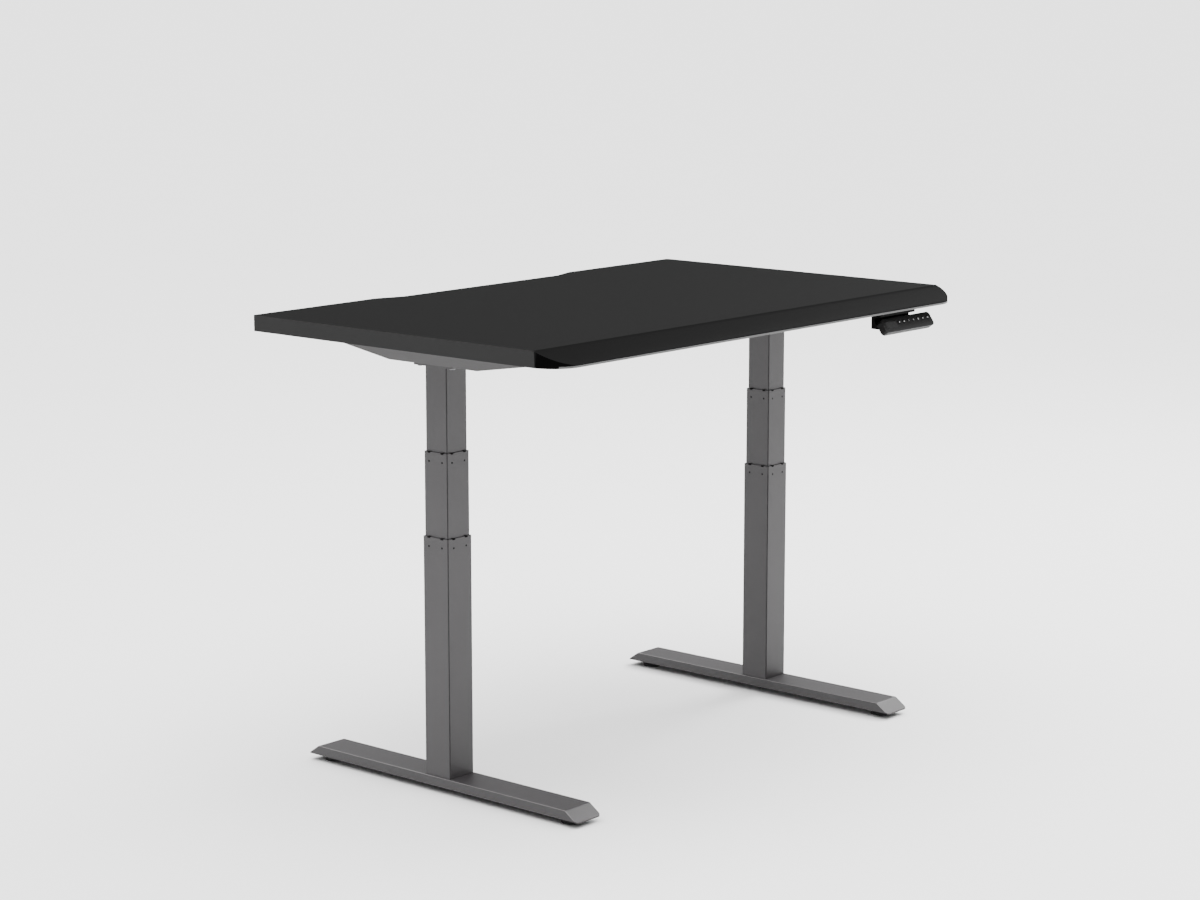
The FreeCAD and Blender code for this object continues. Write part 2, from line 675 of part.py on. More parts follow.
def spindle_nuts():
    """The nut at the top of each fixed tube, spigoted into it."""
    body = upright(SPINDLE_TUBE_RADIUS, LEG_X, COLUMN_Y, SPINDLE_TOP, SPINDLE_TOP + NUT_HEIGHT)
    spigot_radius = SPINDLE_TUBE_RADIUS - SPINDLE_TUBE_WALL - STATIC
    spigot = upright(spigot_radius, LEG_X, COLUMN_Y, SPINDLE_TOP - NUT_SPIGOT, SPINDLE_TOP)
    top = SPINDLE_TOP + NUT_HEIGHT
    bore = upright(SCREW_RADIUS + RUNNING, LEG_X, COLUMN_Y, SPINDLE_TOP - NUT_SPIGOT, top)
    nut = join([body, spigot]).cut(bore)
    return Part.makeCompound([nut, left_of(nut)])


def lead_screw():
    """The hollow screw that climbs out of the lower nut; its collar is the upper nut."""
    body = upright(SCREW_RADIUS, LEG_X, COLUMN_Y, SCREW_BOTTOM, SCREW_TOP)
    bore = upright(SCREW_RADIUS - SCREW_WALL, LEG_X, COLUMN_Y, SCREW_BOTTOM, SCREW_TOP - SCREW_COLLAR)
    throat = upright(ROD_RADIUS + RUNNING, LEG_X, COLUMN_Y, SCREW_BOTTOM, SCREW_TOP)
    return cut_all(body, [bore, throat])


def drive_rod():
    """The threaded rod that the gearbox turns inside the hollow screw."""
    return upright(ROD_RADIUS, LEG_X, COLUMN_Y, HEAD_BOTTOM - ROD_LENGTH, GEAR_TOP)


def worm_wheel():
    """The toothed wheel pressed on the rod's top end."""
    blank = upright(GEAR_RADIUS, LEG_X, COLUMN_Y, GEAR_BOTTOM, GEAR_TOP)
    gaps = []
    for tooth in range(GEAR_TEETH):
        angle = 2 * math.pi * tooth / GEAR_TEETH
        x = LEG_X + GEAR_RADIUS * math.cos(angle)
        y = COLUMN_Y + GEAR_RADIUS * math.sin(angle)
        gaps.append(upright(TOOTH_GAP_RADIUS, x, y, GEAR_BOTTOM, GEAR_TOP))
    bore = upright(ROD_RADIUS, LEG_X, COLUMN_Y, GEAR_BOTTOM, GEAR_TOP)
    return cut_all(blank, gaps + [bore])


# ---- head of the column ----
def lip_centres():
    """Where the head plate is screwed to the bracket's four lips."""
    x = BRACKET_WIDTH / 2 - BRACKET_WALL - LIP_WIDTH / 2
    y = HEAD_PLATE_LENGTH / 2 - LIP_LENGTH / 2
    return [(LEG_X + i * x, COLUMN_Y + j * y) for i in BOTH_SIDES for j in BOTH_SIDES]


def head_plate():
    """The plate on top of the inner tube, screwed up to the side bracket."""
    plate = block(centred(LEG_X, BRACKET_WIDTH), centred(COLUMN_Y, HEAD_PLATE_LENGTH),
                  (HEAD_BOTTOM, HEAD_TOP))
    holes = [upright(SCREW_SHANK_RADIUS + STATIC, x, y, HEAD_BOTTOM, HEAD_TOP) for x, y in lip_centres()]
    holes.append(upright(ROD_RADIUS + ROD_HOLE_GAP, LEG_X, COLUMN_Y, HEAD_BOTTOM, HEAD_TOP))
    return cut_all(plate, holes)


def bracket_outline(x_low, width, wall):
    """The bracket's side shape, full depth in the middle and tapered to its ends."""
    half = BRACKET_LENGTH / 2 - wall
    flat = BRACKET_FLAT / 2
    end = UNDERSIDE - BRACKET_END_HEIGHT
    top = UNDERSIDE - wall
    shape = [(-half, top), (-half, end), (-flat, HEAD_TOP), (flat, HEAD_TOP), (half, end), (half, top)]
    points = [Vector(x_low, COLUMN_Y + y, z) for y, z in shape]
    return prism(points, Vector(width, 0, 0))


def side_bracket():
    """The pressed channel that carries the desktop's side, with its web against the desktop."""
    side = LEG_X - BRACKET_WIDTH / 2
    outer = bracket_outline(side, BRACKET_WIDTH, 0)
    hollow = bracket_outline(side + BRACKET_WALL, BRACKET_WIDTH - 2 * BRACKET_WALL, BRACKET_WALL)
    lips = [block(centred(x, LIP_WIDTH), centred(y, LIP_LENGTH), (HEAD_TOP, HEAD_TOP + BRACKET_WALL))
            for x, y in lip_centres()]
    channel = join([outer.cut(hollow)] + lips)
    hole_radius = SCREW_SHANK_RADIUS + STATIC
    tools = [upright(hole_radius, x, y, HEAD_TOP, HEAD_TOP + BRACKET_WALL) for x, y in lip_centres()]
    tools += [upright(hole_radius, LEG_X, COLUMN_Y + y, UNDERSIDE - BRACKET_WALL, UNDERSIDE)
              for y in DESK_SCREW_PLACES]
    flange = (side, side + BRACKET_WALL)
    tools += [cylinder(hole_radius, Vector(flange[0], y, z), Vector(flange[1], y, z))
              for y, z in end_screw_points()]
    slot_radius = MOTOR_NECK_RADIUS + MOTOR_NECK_CLEARANCE
    tools.append(block(flange, centred(COLUMN_Y, 2 * slot_radius), (HEAD_TOP, NECK_Z)))
    slot_end = Vector(flange[1], COLUMN_Y, NECK_Z)
    tools.append(cylinder(slot_radius, Vector(flange[0], COLUMN_Y, NECK_Z), slot_end))
    return cut_all(channel, tools)


def gearbox():
    """The cast gearbox on the head plate, closed above by the bracket's web."""
    top = UNDERSIDE - BRACKET_WALL
    case = square_bar(GEARBOX_SIZE, TUBE_CORNER, LEG_X, HEAD_TOP, top)
    chamber = upright(GEAR_RADIUS + GEAR_CHAMBER_GAP, LEG_X, COLUMN_Y, HEAD_TOP + GEARBOX_FLOOR, top)
    bearing = upright(ROD_RADIUS + RUNNING, LEG_X, COLUMN_Y, HEAD_TOP, HEAD_TOP + GEARBOX_FLOOR)
    return cut_all(case, [chamber, bearing])


def motor():
    """The motor, lying along the rails and necked through the bracket to the gearbox."""
    def stage(radius, z, start, end):
        return cylinder(radius, Vector(LEG_X - start, COLUMN_Y, z), Vector(LEG_X - end, COLUMN_Y, z))
    end = MOTOR_START + MOTOR_LENGTH
    end_radius = MOTOR_RADIUS - MOTOR_STEP_IN
    neck = stage(MOTOR_NECK_RADIUS, NECK_Z, GEARBOX_SIZE / 2, MOTOR_START + MOTOR_STEP)
    shoulder = stage(end_radius, MOTOR_Z, MOTOR_START, MOTOR_START + MOTOR_STEP)
    can = stage(MOTOR_RADIUS, MOTOR_Z, MOTOR_START + MOTOR_STEP, end - MOTOR_STEP)
    cap = stage(end_radius, MOTOR_Z, end - MOTOR_STEP, end)
    gland = stage(MOTOR_GLAND_RADIUS, MOTOR_Z, end, end + MOTOR_GLAND_LENGTH)
    return join([neck, shoulder, can, cap, gland])


# ---- cross rails ----
def rail_tube(width, x_range, z_range):
    """A rectangular tube along X, on the rear rail's line."""
    y = COLUMN_Y + RAIL_SPREAD / 2
    outer = block(x_range, centred(y, width), z_range)
    hollow_z = (z_range[0] + RAIL_WALL, z_range[1] - RAIL_WALL)
    return outer.cut(block(x_range, centred(y, width - 2 * RAIL_WALL), hollow_z))


def rails():
    """The two outer rail tubes that cross under the desktop."""
    rear = rail_tube(RAIL_WIDTH, (-RAIL_HALF, RAIL_HALF), (RAIL_BOTTOM, UNDERSIDE))
    return Part.makeCompound([rear, front_of(rear)])


def end_screw_points():
    """Where the rail ends are screwed to the right bracket, rear and front."""
    across = RAIL_SPREAD / 2 + RAIL_WIDTH / 2 + END_PLATE_REACH / 2
    up = END_SCREW_SPREAD / 2
    middle = (HEAD_TOP + RAIL_END_TOP) / 2
    return [(COLUMN_Y + j * across, middle + k * up) for j in BOTH_SIDES for k in BOTH_SIDES]


def rail_ends():
    """The four telescoping rail ends, each with a plate that meets its bracket."""
    outside = LEG_X - BRACKET_WIDTH / 2
    width = RAIL_WIDTH - 2 * (RAIL_WALL + STATIC)
    z_range = (HEAD_TOP, RAIL_END_TOP)
    tube = rail_tube(width, (RAIL_HALF - RAIL_END_INSERTION, outside), z_range)
    y_low = COLUMN_Y + RAIL_SPREAD / 2 - width / 2
    y_high = COLUMN_Y + RAIL_SPREAD / 2 + RAIL_WIDTH / 2 + END_PLATE_REACH
    plate = block((outside - END_PLATE_THICKNESS, outside), (y_low, y_high), z_range)
    inside = outside - END_PLATE_THICKNESS
    holes = [cylinder(SCREW_SHANK_RADIUS + STATIC, Vector(inside, y, z), Vector(outside, y, z))
             for y, z in end_screw_points() if y > COLUMN_Y]
    rear = cut_all(join([tube, plate]), holes)
    right = [rear, front_of(rear)]
    return Part.makeCompound(right + [left_of(end) for end in right])


# ---- screws ----
def screw(seat, along):
    """A button-head screw whose head seats at a point and whose shank runs along a direction."""
    top = seat - along * SCREW_HEAD_HEIGHT
    head = cylinder(SCREW_HEAD_RADIUS, top, seat)
    return join([head, cylinder(SCREW_SHANK_RADIUS, top, seat + along * SCREW_SHANK_LENGTH)])


def frame_screws():
    """Every screw of the lifted frame: head plates, rail ends, desktop and control box."""
    right = [screw(Vector(x, y, HEAD_BOTTOM), Z_AXIS) for x, y in lip_centres()]
    plate_face = LEG_X - BRACKET_WIDTH / 2 - END_PLATE_THICKNESS
    right += [screw(Vector(plate_face, y, z), X_AXIS) for y, z in end_screw_points()]
    paired = right + [left_of(piece) for piece in right]
    upward = [screw(Vector(x, y, UNDERSIDE - BRACKET_WALL), Z_AXIS) for x, y in desk_screw_points()]
    upward += [screw(Vector(x, y, UNDERSIDE - EAR_THICKNESS), Z_AXIS) for x, y in ear_screw_points()]
    return Part.makeCompound(paired + upward)


# ---- control box ----
def lead_entries():
    """Where leads enter the control box's front wall: left motor, handset, right motor."""
    outermost = BOX_WIDTH / 2 - LEAD_ENTRY_INSET
    return [-outermost, outermost - LEAD_ENTRY_PITCH, outermost]


def control_box():
    """The moulded box, closed above and open below, with an ear at each side."""
    x_range = centred(0, BOX_WIDTH)
    y_range = (BOX_FRONT, BOX_REAR)
    body = round_upright_edges(block(x_range, y_range, (BOX_BOTTOM, UNDERSIDE)), BOX_CORNER)
    ear_z = (UNDERSIDE - EAR_THICKNESS, UNDERSIDE)
    ear_width = EAR_REACH + EAR_ROOT
    ears = [block(centred(x, ear_width), centred(y, EAR_LENGTH), ear_z) for x, y in ear_screw_points()]
    hollow = block(centred(0, BOX_WIDTH - 2 * BOX_WALL), (BOX_FRONT + BOX_WALL, BOX_REAR - BOX_WALL),
                   (BOX_BOTTOM, UNDERSIDE - BOX_WALL))
    hollow = round_upright_edges(hollow, BOX_CORNER - BOX_WALL)
    window = block(centred(INLET_X, INLET_WIDTH + 2 * STATIC), (BOX_REAR - BOX_WALL, BOX_REAR),
                   centred(BOX_MIDDLE_Z, INLET_HEIGHT + 2 * STATIC))
    entries = [cylinder(LEAD_RADIUS + STATIC, Vector(x, BOX_FRONT, BOX_MIDDLE_Z),
                        Vector(x, BOX_FRONT + BOX_WALL, BOX_MIDDLE_Z)) for x in lead_entries()]
    ear_holes = [upright(SCREW_SHANK_RADIUS + STATIC, x, y, *ear_z) for x, y in ear_screw_points()]
    shell = cut_all(join([body] + ears), [hollow, window] + entries + ear_holes)
    roof = UNDERSIDE - BOX_WALL
    post_x = BOX_WIDTH / 2 - POST_INSET
    post_y = (BOX_FRONT + POST_INSET, BOX_REAR - POST_INSET)
    posts = [upright(POST_RADIUS, i * post_x, y, roof - BOARD_BELOW_ROOF, roof)
             for i in BOTH_SIDES for y in post_y]
    return join([shell] + posts)


def control_box_lid():
    """The cover that snaps into the box from below."""
    inset = BOX_WALL + STATIC
    lid = block(centred(0, BOX_WIDTH - 2 * inset), (BOX_FRONT + inset, BOX_REAR - inset),
                (BOX_BOTTOM, BOX_BOTTOM + BOX_WALL))
    lid = round_upright_edges(lid, BOX_CORNER - BOX_WALL)
    first = -VENT_PITCH * (VENT_COUNT - 1) / 2
    vent_y = centred(BOX_FRONT + BOX_DEPTH / 2, VENT_LENGTH)
    vents = [block(centred(first + VENT_PITCH * i, VENT_WIDTH), vent_y, (BOX_BOTTOM, BOX_BOTTOM + BOX_WALL))
             for i in range(VENT_COUNT)]
    return cut_all(lid, vents)


def control_board():
    """The circuit board that hangs from the box's posts, with its larger components."""
    top = UNDERSIDE - BOX_WALL - BOARD_BELOW_ROOF
    low = top - BOARD_THICKNESS
    gap = BOX_WALL + BOARD_GAP
    y_range = (BOX_FRONT + gap, BOX_REAR - INLET_DEPTH - BOARD_GAP)
    board = block(centred(0, BOX_WIDTH - 2 * gap), y_range, (low, top))
    row = BOX_FRONT + COMPONENT_ROW
    length, depth, height = TRANSFORMER_SIZE
    transformer = block(centred(TRANSFORMER_X, length), centred(row, depth), (low - height, low))
    length, depth, height = HEAT_SINK_SIZE
    heat_sink = block(centred(0, length), centred(row, depth), (low - height, low))
    capacitors = [upright(CAPACITOR_RADIUS, x, row, low - CAPACITOR_HEIGHT, low) for x in CAPACITOR_X]
    return join([board, transformer, heat_sink] + capacitors)


def power_inlet():
    """The snap-in mains inlet in the box's rear wall, with its three pins."""
    rim = 2 * INLET_WALL
    flange = block(centred(INLET_X, INLET_WIDTH + rim), (BOX_REAR, BOX_REAR + INLET_FLANGE),
                   centred(BOX_MIDDLE_Z, INLET_HEIGHT + rim))
    body = block(centred(INLET_X, INLET_WIDTH), (BOX_REAR - INLET_DEPTH, BOX_REAR),
                 centred(BOX_MIDDLE_Z, INLET_HEIGHT))
    floor = BOX_REAR - INLET_DEPTH + INLET_WALL
    socket = block(centred(INLET_X, INLET_WIDTH - rim), (floor, BOX_REAR + INLET_FLANGE),
                   centred(BOX_MIDDLE_Z, INLET_HEIGHT - rim))
    pin_y = (floor - INLET_WALL / 2, BOX_REAR - INLET_FLANGE)
    pins = [block(centred(INLET_X + x, INLET_PIN_WIDTH), pin_y, centred(BOX_MIDDLE_Z + z, INLET_PIN_HEIGHT))
            for x, z in INLET_PINS]
    return join([join([flange, body]).cut(socket)] + pins)


# ---- handset: drawn flat with its face up at Z = 0, then tilted into place ----
def tilt_into_place(shape):
    """Turn a handset piece from its flat drawing to its place under the front edge."""
    turn = Placement(Vector(HANDSET_X, HANDSET_Y, HANDSET_Z), Rotation(X_AXIS, HANDSET_TILT))
    placed = shape.copy()
    placed.Placement = turn.multiply(placed.Placement)
    return placed


def button_places():
    """The middle of each button along the face, from left to right."""
    return [FIRST_BUTTON + index * BUTTON_PITCH for index in range(BUTTON_COUNT)]


def handset_shell():
    """The handset's front shell, open at the back, with holes for the buttons and the lens."""
    body = block(centred(0, HANDSET_WIDTH), centred(0, HANDSET_HEIGHT), (-HANDSET_THICKNESS, 0))
    body = round_upright_edges(body, HANDSET_CORNER)
    hollow = block(centred(0, HANDSET_WIDTH - 2 * HANDSET_WALL),
                   centred(0, HANDSET_HEIGHT - 2 * HANDSET_WALL), (-HANDSET_THICKNESS, -HANDSET_WALL))
    hollow = round_upright_edges(hollow, HANDSET_CORNER - HANDSET_WALL)
    holes = [upright(BUTTON_RADIUS + STATIC, x, BUTTON_ROW, -HANDSET_WALL, 0) for x in button_places()]
    recess = block(centred(LENS_X, LENS_WIDTH + 2 * STATIC), centred(0, LENS_HEIGHT + 2 * STATIC),
                   (-LENS_THICKNESS, 0))
    return tilt_into_place(cut_all(body, [hollow, recess] + holes))


def handset_lens():
    """The smoked window over the height display."""
    lens = block(centred(LENS_X, LENS_WIDTH), centred(0, LENS_HEIGHT), (-LENS_THICKNESS, 0))
    return tilt_into_place(round_upright_edges(lens, LENS_CORNER))


def handset_board():
    """The handset's circuit board, with a dome switch under each button."""
    inset = HANDSET_WALL + STATIC
    board = block(centred(0, HANDSET_WIDTH - 2 * inset), centred(0, HANDSET_HEIGHT - 2 * inset),
                  (-HANDSET_BOARD_DEPTH - BOARD_THICKNESS, -HANDSET_BOARD_DEPTH))
    board = round_upright_edges(board, HANDSET_CORNER - inset)
    seats = [Vector(x, BUTTON_ROW, -HANDSET_BOARD_DEPTH) for x in button_places()]
    domes = [Part.makeCone(DOME_RADIUS, DOME_TOP_RADIUS, DOME_HEIGHT, seat) for seat in seats]
    return tilt_into_place(join([board] + domes))


def button(x):
    """A round push button, kept in by a flange behind the face."""
    stem = upright(BUTTON_RADIUS, x, BUTTON_ROW, -BUTTON_DEPTH, BUTTON_PROUD)
    high = -HANDSET_WALL - RUNNING
    flange = upright(BUTTON_RADIUS + BUTTON_FLANGE_REACH, x, BUTTON_ROW, high - BUTTON_FLANGE, high)
    return tilt_into_place(join([stem, flange]))


def handset_mount():
    """The back of the handset and the block that carries it from the desktop."""
    inset = HANDSET_WALL + STATIC
    back = block(centred(0, HANDSET_WIDTH - 2 * inset), centred(0, HANDSET_HEIGHT - 2 * inset),
                 (-HANDSET_THICKNESS, -HANDSET_BOARD_DEPTH - BOARD_THICKNESS - STATIC))
    back = tilt_into_place(round_upright_edges(back, HANDSET_CORNER - inset))
    flat = Placement(Vector(HANDSET_X, HANDSET_Y, HANDSET_Z), Rotation(X_AXIS, HANDSET_TILT))
    high = flat.multVec(Vector(0, HANDSET_HEIGHT / 2 - inset, -HANDSET_THICKNESS))
    low = flat.multVec(Vector(0, -HANDSET_HEIGHT / 4, -HANDSET_THICKNESS))
    behind = flat.multVec(Vector(0, HANDSET_HEIGHT / 2, -HANDSET_THICKNESS)).y + MOUNT_NECK_GAP
    lip = UNDERSIDE - MOUNT_LIP
    lip_front = HANDSET_Y + MOUNT_FRONT_SETBACK
    front = [(lip_front, UNDERSIDE), (lip_front, lip), (behind, lip), (behind, high.z + MOUNT_NECK_GAP),
             (high.y, high.z)]
    middle = flat.multVec(Vector(0, 0, -HANDSET_THICKNESS))
    neck_rear = behind + MOUNT_NECK_DEPTH
    neck = front + [(middle.y, middle.z), (neck_rear, middle.z), (neck_rear, UNDERSIDE)]
    support = front + [(low.y, low.z), (MOUNT_REAR, UNDERSIDE - MOUNT_REAR_HEIGHT), (MOUNT_REAR, UNDERSIDE)]
    x = MOUNT_X - MOUNT_WIDTH / 2
    inner_x = x + MOUNT_BLOCK_INSET
    block_width = MOUNT_WIDTH - MOUNT_BLOCK_INSET
    carriers = [prism([Vector(x, y, z) for y, z in neck], Vector(MOUNT_WIDTH, 0, 0)),
                prism([Vector(inner_x, y, z) for y, z in support], Vector(block_width, 0, 0))]
    return join([back] + carriers)


# ---- leads, clipped all the way between their housings ----
def motor_lead_route():
    """The right motor's lead: along the rails, under the rear one and into the box."""
    crossing = MOTOR_END_X - MOTOR_LEAD_RUN
    entry = lead_entries()[2]
    return [Vector(MOTOR_END_X, COLUMN_Y, MOTOR_Z),
            Vector(MOTOR_END_X - MOTOR_LEAD_STRAIGHT, COLUMN_Y, MOTOR_Z),
            Vector(crossing, COLUMN_Y, LEAD_UNDER_RAIL),
            Vector(crossing, COLUMN_Y + LEAD_PAST_RAILS, LEAD_UNDER_RAIL),
            Vector(entry, BOX_FRONT - BOX_APPROACH, BOX_MIDDLE_Z),
            Vector(entry, BOX_FRONT + BOX_WALL, BOX_MIDDLE_Z)]


def handset_lead_route():
    """The handset's lead: under the desktop, under both rails and into the box."""
    entry = lead_entries()[1]
    return [Vector(MOUNT_X, MOUNT_REAR, LEAD_UNDER_TOP),
            Vector(MOUNT_X, MOUNT_REAR + HANDSET_LEAD_STRAIGHT, LEAD_UNDER_TOP),
            Vector(entry, COLUMN_Y - HANDSET_LEAD_FALL_START, LEAD_UNDER_TOP),
            Vector(entry, COLUMN_Y - LEAD_PAST_RAILS, LEAD_UNDER_RAIL),
            Vector(entry, COLUMN_Y + LEAD_PAST_RAILS, LEAD_UNDER_RAIL),
            Vector(entry, BOX_FRONT - HANDSET_BOX_APPROACH, BOX_MIDDLE_Z),
            Vector(entry, BOX_FRONT + BOX_WALL, BOX_MIDDLE_Z)]


def motor_leads():
    """Both motors' leads."""
    right = lead(motor_lead_route())
    return Part.makeCompound([right, left_of(right)])


def clip(x, y, z, roof, heading):
    """A moulded saddle that holds a lead against the surface above it."""
    body = block(centred(0, CLIP_LENGTH), centred(0, CLIP_WIDTH), (-LEAD_RADIUS - CLIP_FLOOR, roof - z))
    bore = cylinder(LEAD_RADIUS + STATIC, Vector(-CLIP_LENGTH, 0, 0), Vector(CLIP_LENGTH, 0, 0))
    saddle = body.cut(bore)
    saddle.Placement = Placement(Vector(x, y, z), Rotation(Z_AXIS, heading))
    return saddle


def cable_clips():
    """Clips under the rails and along the handset's lead."""
    rear_rail = COLUMN_Y + RAIL_SPREAD / 2
    motor_crossing = motor_lead_route()[2].x
    clips = [clip(side * motor_crossing, rear_rail, LEAD_UNDER_RAIL, RAIL_BOTTOM, 90)
             for side in BOTH_SIDES]
    route = handset_lead_route()
    entry = route[3].x
    for y in (rear_rail, COLUMN_Y - RAIL_SPREAD / 2):
        clips.append(clip(entry, y, LEAD_UNDER_RAIL, RAIL_BOTTOM, 90))
    run = route[2] - route[1]
    heading = math.degrees(math.atan2(run.y, run.x))
    for share in CLIP_SHARES:
        place = route[1] + run * share
        clips.append(clip(place.x, place.y, place.z, UNDERSIDE, heading))
    return Part.makeCompound(clips)


# ---- assembly ----
def paired_nodes():
    """Pieces that each side has one of."""
    builders = (foot, outer_tube, middle_tube, middle_glides, inner_tube, head_plate, side_bracket,
                gearbox, motor, worm_wheel, drive_rod, lead_screw)
    nodes = {}
    for build in builders:
        right = build()
        nodes["right_" + build.__name__] = right
        nodes["left_" + build.__name__] = left_of(right)
    for place, y in zip(("front", "rear"), pad_centres()):
        for build in (pad, stud):
            right = build(y)
            nodes["right_" + place + "_" + build.__name__] = right
            nodes["left_" + place + "_" + build.__name__] = left_of(right)
    return nodes


def single_nodes():
    """Pieces that the desk has one of, or one group of."""
    builders = (desktop, front_strip, outer_glides, inner_glides, foot_bolts, spindle_tubes, spindle_nuts,
                rails, rail_ends, frame_screws, control_box, control_box_lid, control_board, power_inlet,
                handset_shell, handset_mount, handset_lens, handset_board, motor_leads, cable_clips)
    nodes = {build.__name__: build() for build in builders}
    nodes["handset_lead"] = lead(handset_lead_route())
    for index, x in enumerate(button_places()):
        nodes["button_" + str(index + 1)] = button(x)
    return nodes


os.makedirs("parts", exist_ok=True)
for name, shape in {**paired_nodes(), **single_nodes()}.items():
    shape.exportStep("parts/" + name + ".step")
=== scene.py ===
import json
import math

import bpy
from mathutils import Matrix, Vector


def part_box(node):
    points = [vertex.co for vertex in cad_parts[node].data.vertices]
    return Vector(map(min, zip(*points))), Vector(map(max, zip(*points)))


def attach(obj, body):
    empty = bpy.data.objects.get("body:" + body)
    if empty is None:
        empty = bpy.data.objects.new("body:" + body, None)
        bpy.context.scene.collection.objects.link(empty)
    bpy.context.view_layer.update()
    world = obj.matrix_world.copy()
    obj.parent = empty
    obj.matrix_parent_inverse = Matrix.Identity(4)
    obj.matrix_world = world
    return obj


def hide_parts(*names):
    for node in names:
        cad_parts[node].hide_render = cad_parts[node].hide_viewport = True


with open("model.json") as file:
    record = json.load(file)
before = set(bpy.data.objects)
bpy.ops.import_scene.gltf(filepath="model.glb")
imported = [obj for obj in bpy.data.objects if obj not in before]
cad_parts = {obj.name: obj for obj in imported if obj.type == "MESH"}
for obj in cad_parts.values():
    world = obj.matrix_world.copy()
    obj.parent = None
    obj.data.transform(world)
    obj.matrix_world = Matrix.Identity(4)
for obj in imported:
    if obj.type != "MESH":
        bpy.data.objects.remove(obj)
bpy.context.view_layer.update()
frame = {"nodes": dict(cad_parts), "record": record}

bpy.ops.object.select_all(action="DESELECT")


# ---- Camera ----
# A long lens at eye height, off the desk's front left corner.
# It looks a little down, so the top and both feet show.
camera_data = bpy.data.cameras.new("studio_camera")
camera_data.lens = 86.94
camera = bpy.data.objects.new("studio_camera", camera_data)
camera.location = (-4.2558, -3.6249, 1.5985)
camera.rotation_euler = (math.radians(90 - 10.319), 0, math.radians(-49.201))
bpy.context.scene.collection.objects.link(camera)
bpy.context.scene.camera = camera


# ---- Studio floor and light ----
# A seamless pale floor under a soft sky that lights from overhead and hardly at all from the horizon.
# Two large softboxes add a little direction from above and from the right.
class Value:
    """One output of a shader node. Arithmetic on it adds Math nodes."""

    def __init__(self, tree, socket):
        self.tree = tree
        self.socket = socket

    def math(self, operation, *terms):
        node = self.tree.nodes.new("ShaderNodeMath")
        node.operation = operation
        for place, term in enumerate(terms):
            if isinstance(term, Value):
                self.tree.links.new(term.socket, node.inputs[place])
            else:
                node.inputs[place].default_value = term
        return Value(self.tree, node.outputs[0])

    def __add__(self, other):
        return self.math("ADD", self, other)

    def __sub__(self, other):
        return self.math("SUBTRACT", self, other)

    def __rsub__(self, other):
        return self.math("SUBTRACT", other, self)

    def __mul__(self, other):
        return self.math("MULTIPLY", self, other)

    def __abs__(self):
        return self.math("ABSOLUTE", self)

    def above(self, level):
        return self.math("GREATER_THAN", self, level)

    def sine(self):
        return self.math("SINE", self)

    def clamped(self):
        return self.math("MAXIMUM", self.math("MINIMUM", self, 1.0), 0.0)


class Finish:
    """A material under construction: its nodes, and the surface that they end in."""

    def __init__(self, name, **constants):
        self.material = bpy.data.materials.new(name)
        self.material.use_nodes = True
        self.tree = self.material.node_tree
        self.surface = self.tree.nodes["Principled BSDF"]
        for socket, value in constants.items():
            self.surface.inputs[socket.replace("_", " ")].default_value = value

    def node(self, kind, settings, sockets, output=0):
        """Any node: its type, its settings, and the values or links of its sockets."""
        node = self.tree.nodes.new(kind)
        for setting, value in settings.items():
            setattr(node, setting, value)
        for key, value in sockets.items():
            if isinstance(value, Value):
                self.tree.links.new(value.socket, node.inputs[key])
            else:
                node.inputs[key].default_value = value
        return Value(self.tree, node.outputs[output])

    def place(self):
        """The object's own coordinates."""
        return self.node("ShaderNodeTexCoord", {}, {}, "Object")

    def axis(self, letter):
        """One of the object's own coordinates, in metres."""
        return self.node("ShaderNodeSeparateXYZ", {}, {"Vector": self.place()}, letter)

    def noise(self, scale, detail=2.0, stretch=(1.0, 1.0, 1.0)):
        """Soft noise from 0 to 1, with about this many features in a metre."""
        where = self.node("ShaderNodeMapping", {}, {"Vector": self.place(), "Scale": stretch})
        return self.node("ShaderNodeTexNoise", {}, {"Vector": where, "Scale": scale, "Detail": detail})

    def cells(self, scale):
        """Round pebbles, dark at their middles, with about this many in a metre."""
        return self.node("ShaderNodeTexVoronoi", {}, {"Vector": self.place(), "Scale": scale})

    def blend(self, share, first, second):
        """A colour between two, by a share from 0 to 1."""
        return self.node("ShaderNodeMix", {"data_type": "RGBA"}, {0: share, 6: first, 7: second}, 2)

    def set(self, socket, value):
        self.tree.links.new(value.socket, self.surface.inputs[socket])

    def relief(self, height, depth):
        """Relief on the surface: a height from 0 to 1, and its depth in metres."""
        self.set("Normal", self.node("ShaderNodeBump", {}, {"Height": height, "Distance": depth}))

    def skin(self, grain, first, second, roughness, depth=None):
        """Colour, roughness and, when it has a depth, relief that all follow one fine grain."""
        smoothest, roughest = roughness
        self.set("Base Color", self.blend(grain, first, second))
        self.set("Roughness", grain * (roughest - smoothest) + smoothest)
        if depth:
            self.relief(grain, depth)


def grey(level):
    """A neutral colour."""
    return (level, level, level, 1.0)


floor_finish = Finish("studio_floor", Roughness=0.95, Specular_IOR_Level=0.1)
floor_finish.set("Base Color", floor_finish.blend(floor_finish.noise(2.0), grey(0.88), grey(0.90)))
bpy.ops.mesh.primitive_plane_add(size=400)
floor = bpy.context.object
floor.name = "studio_floor"
floor.data.materials.append(floor_finish.material)

world = bpy.data.worlds.new("studio")
bpy.context.scene.world = world
world.use_nodes = True
sky = world.node_tree
height = sky.nodes.new("ShaderNodeSeparateXYZ")
sky.links.new(sky.nodes.new("ShaderNodeTexCoord").outputs["Generated"], height.inputs[0])
rise = (Value(sky, height.outputs["Z"]) - 0.42) * 2.5
seen = Value(sky, sky.nodes.new("ShaderNodeLightPath").outputs["Is Camera Ray"])
lighting = rise.clamped() * 4.6 + 0.3
strength = seen * 2.3 + (1.0 - seen) * lighting
sky.links.new(strength.socket, sky.nodes["Background"].inputs["Strength"])
sky.nodes["Background"].inputs["Color"].default_value = grey(1.0)


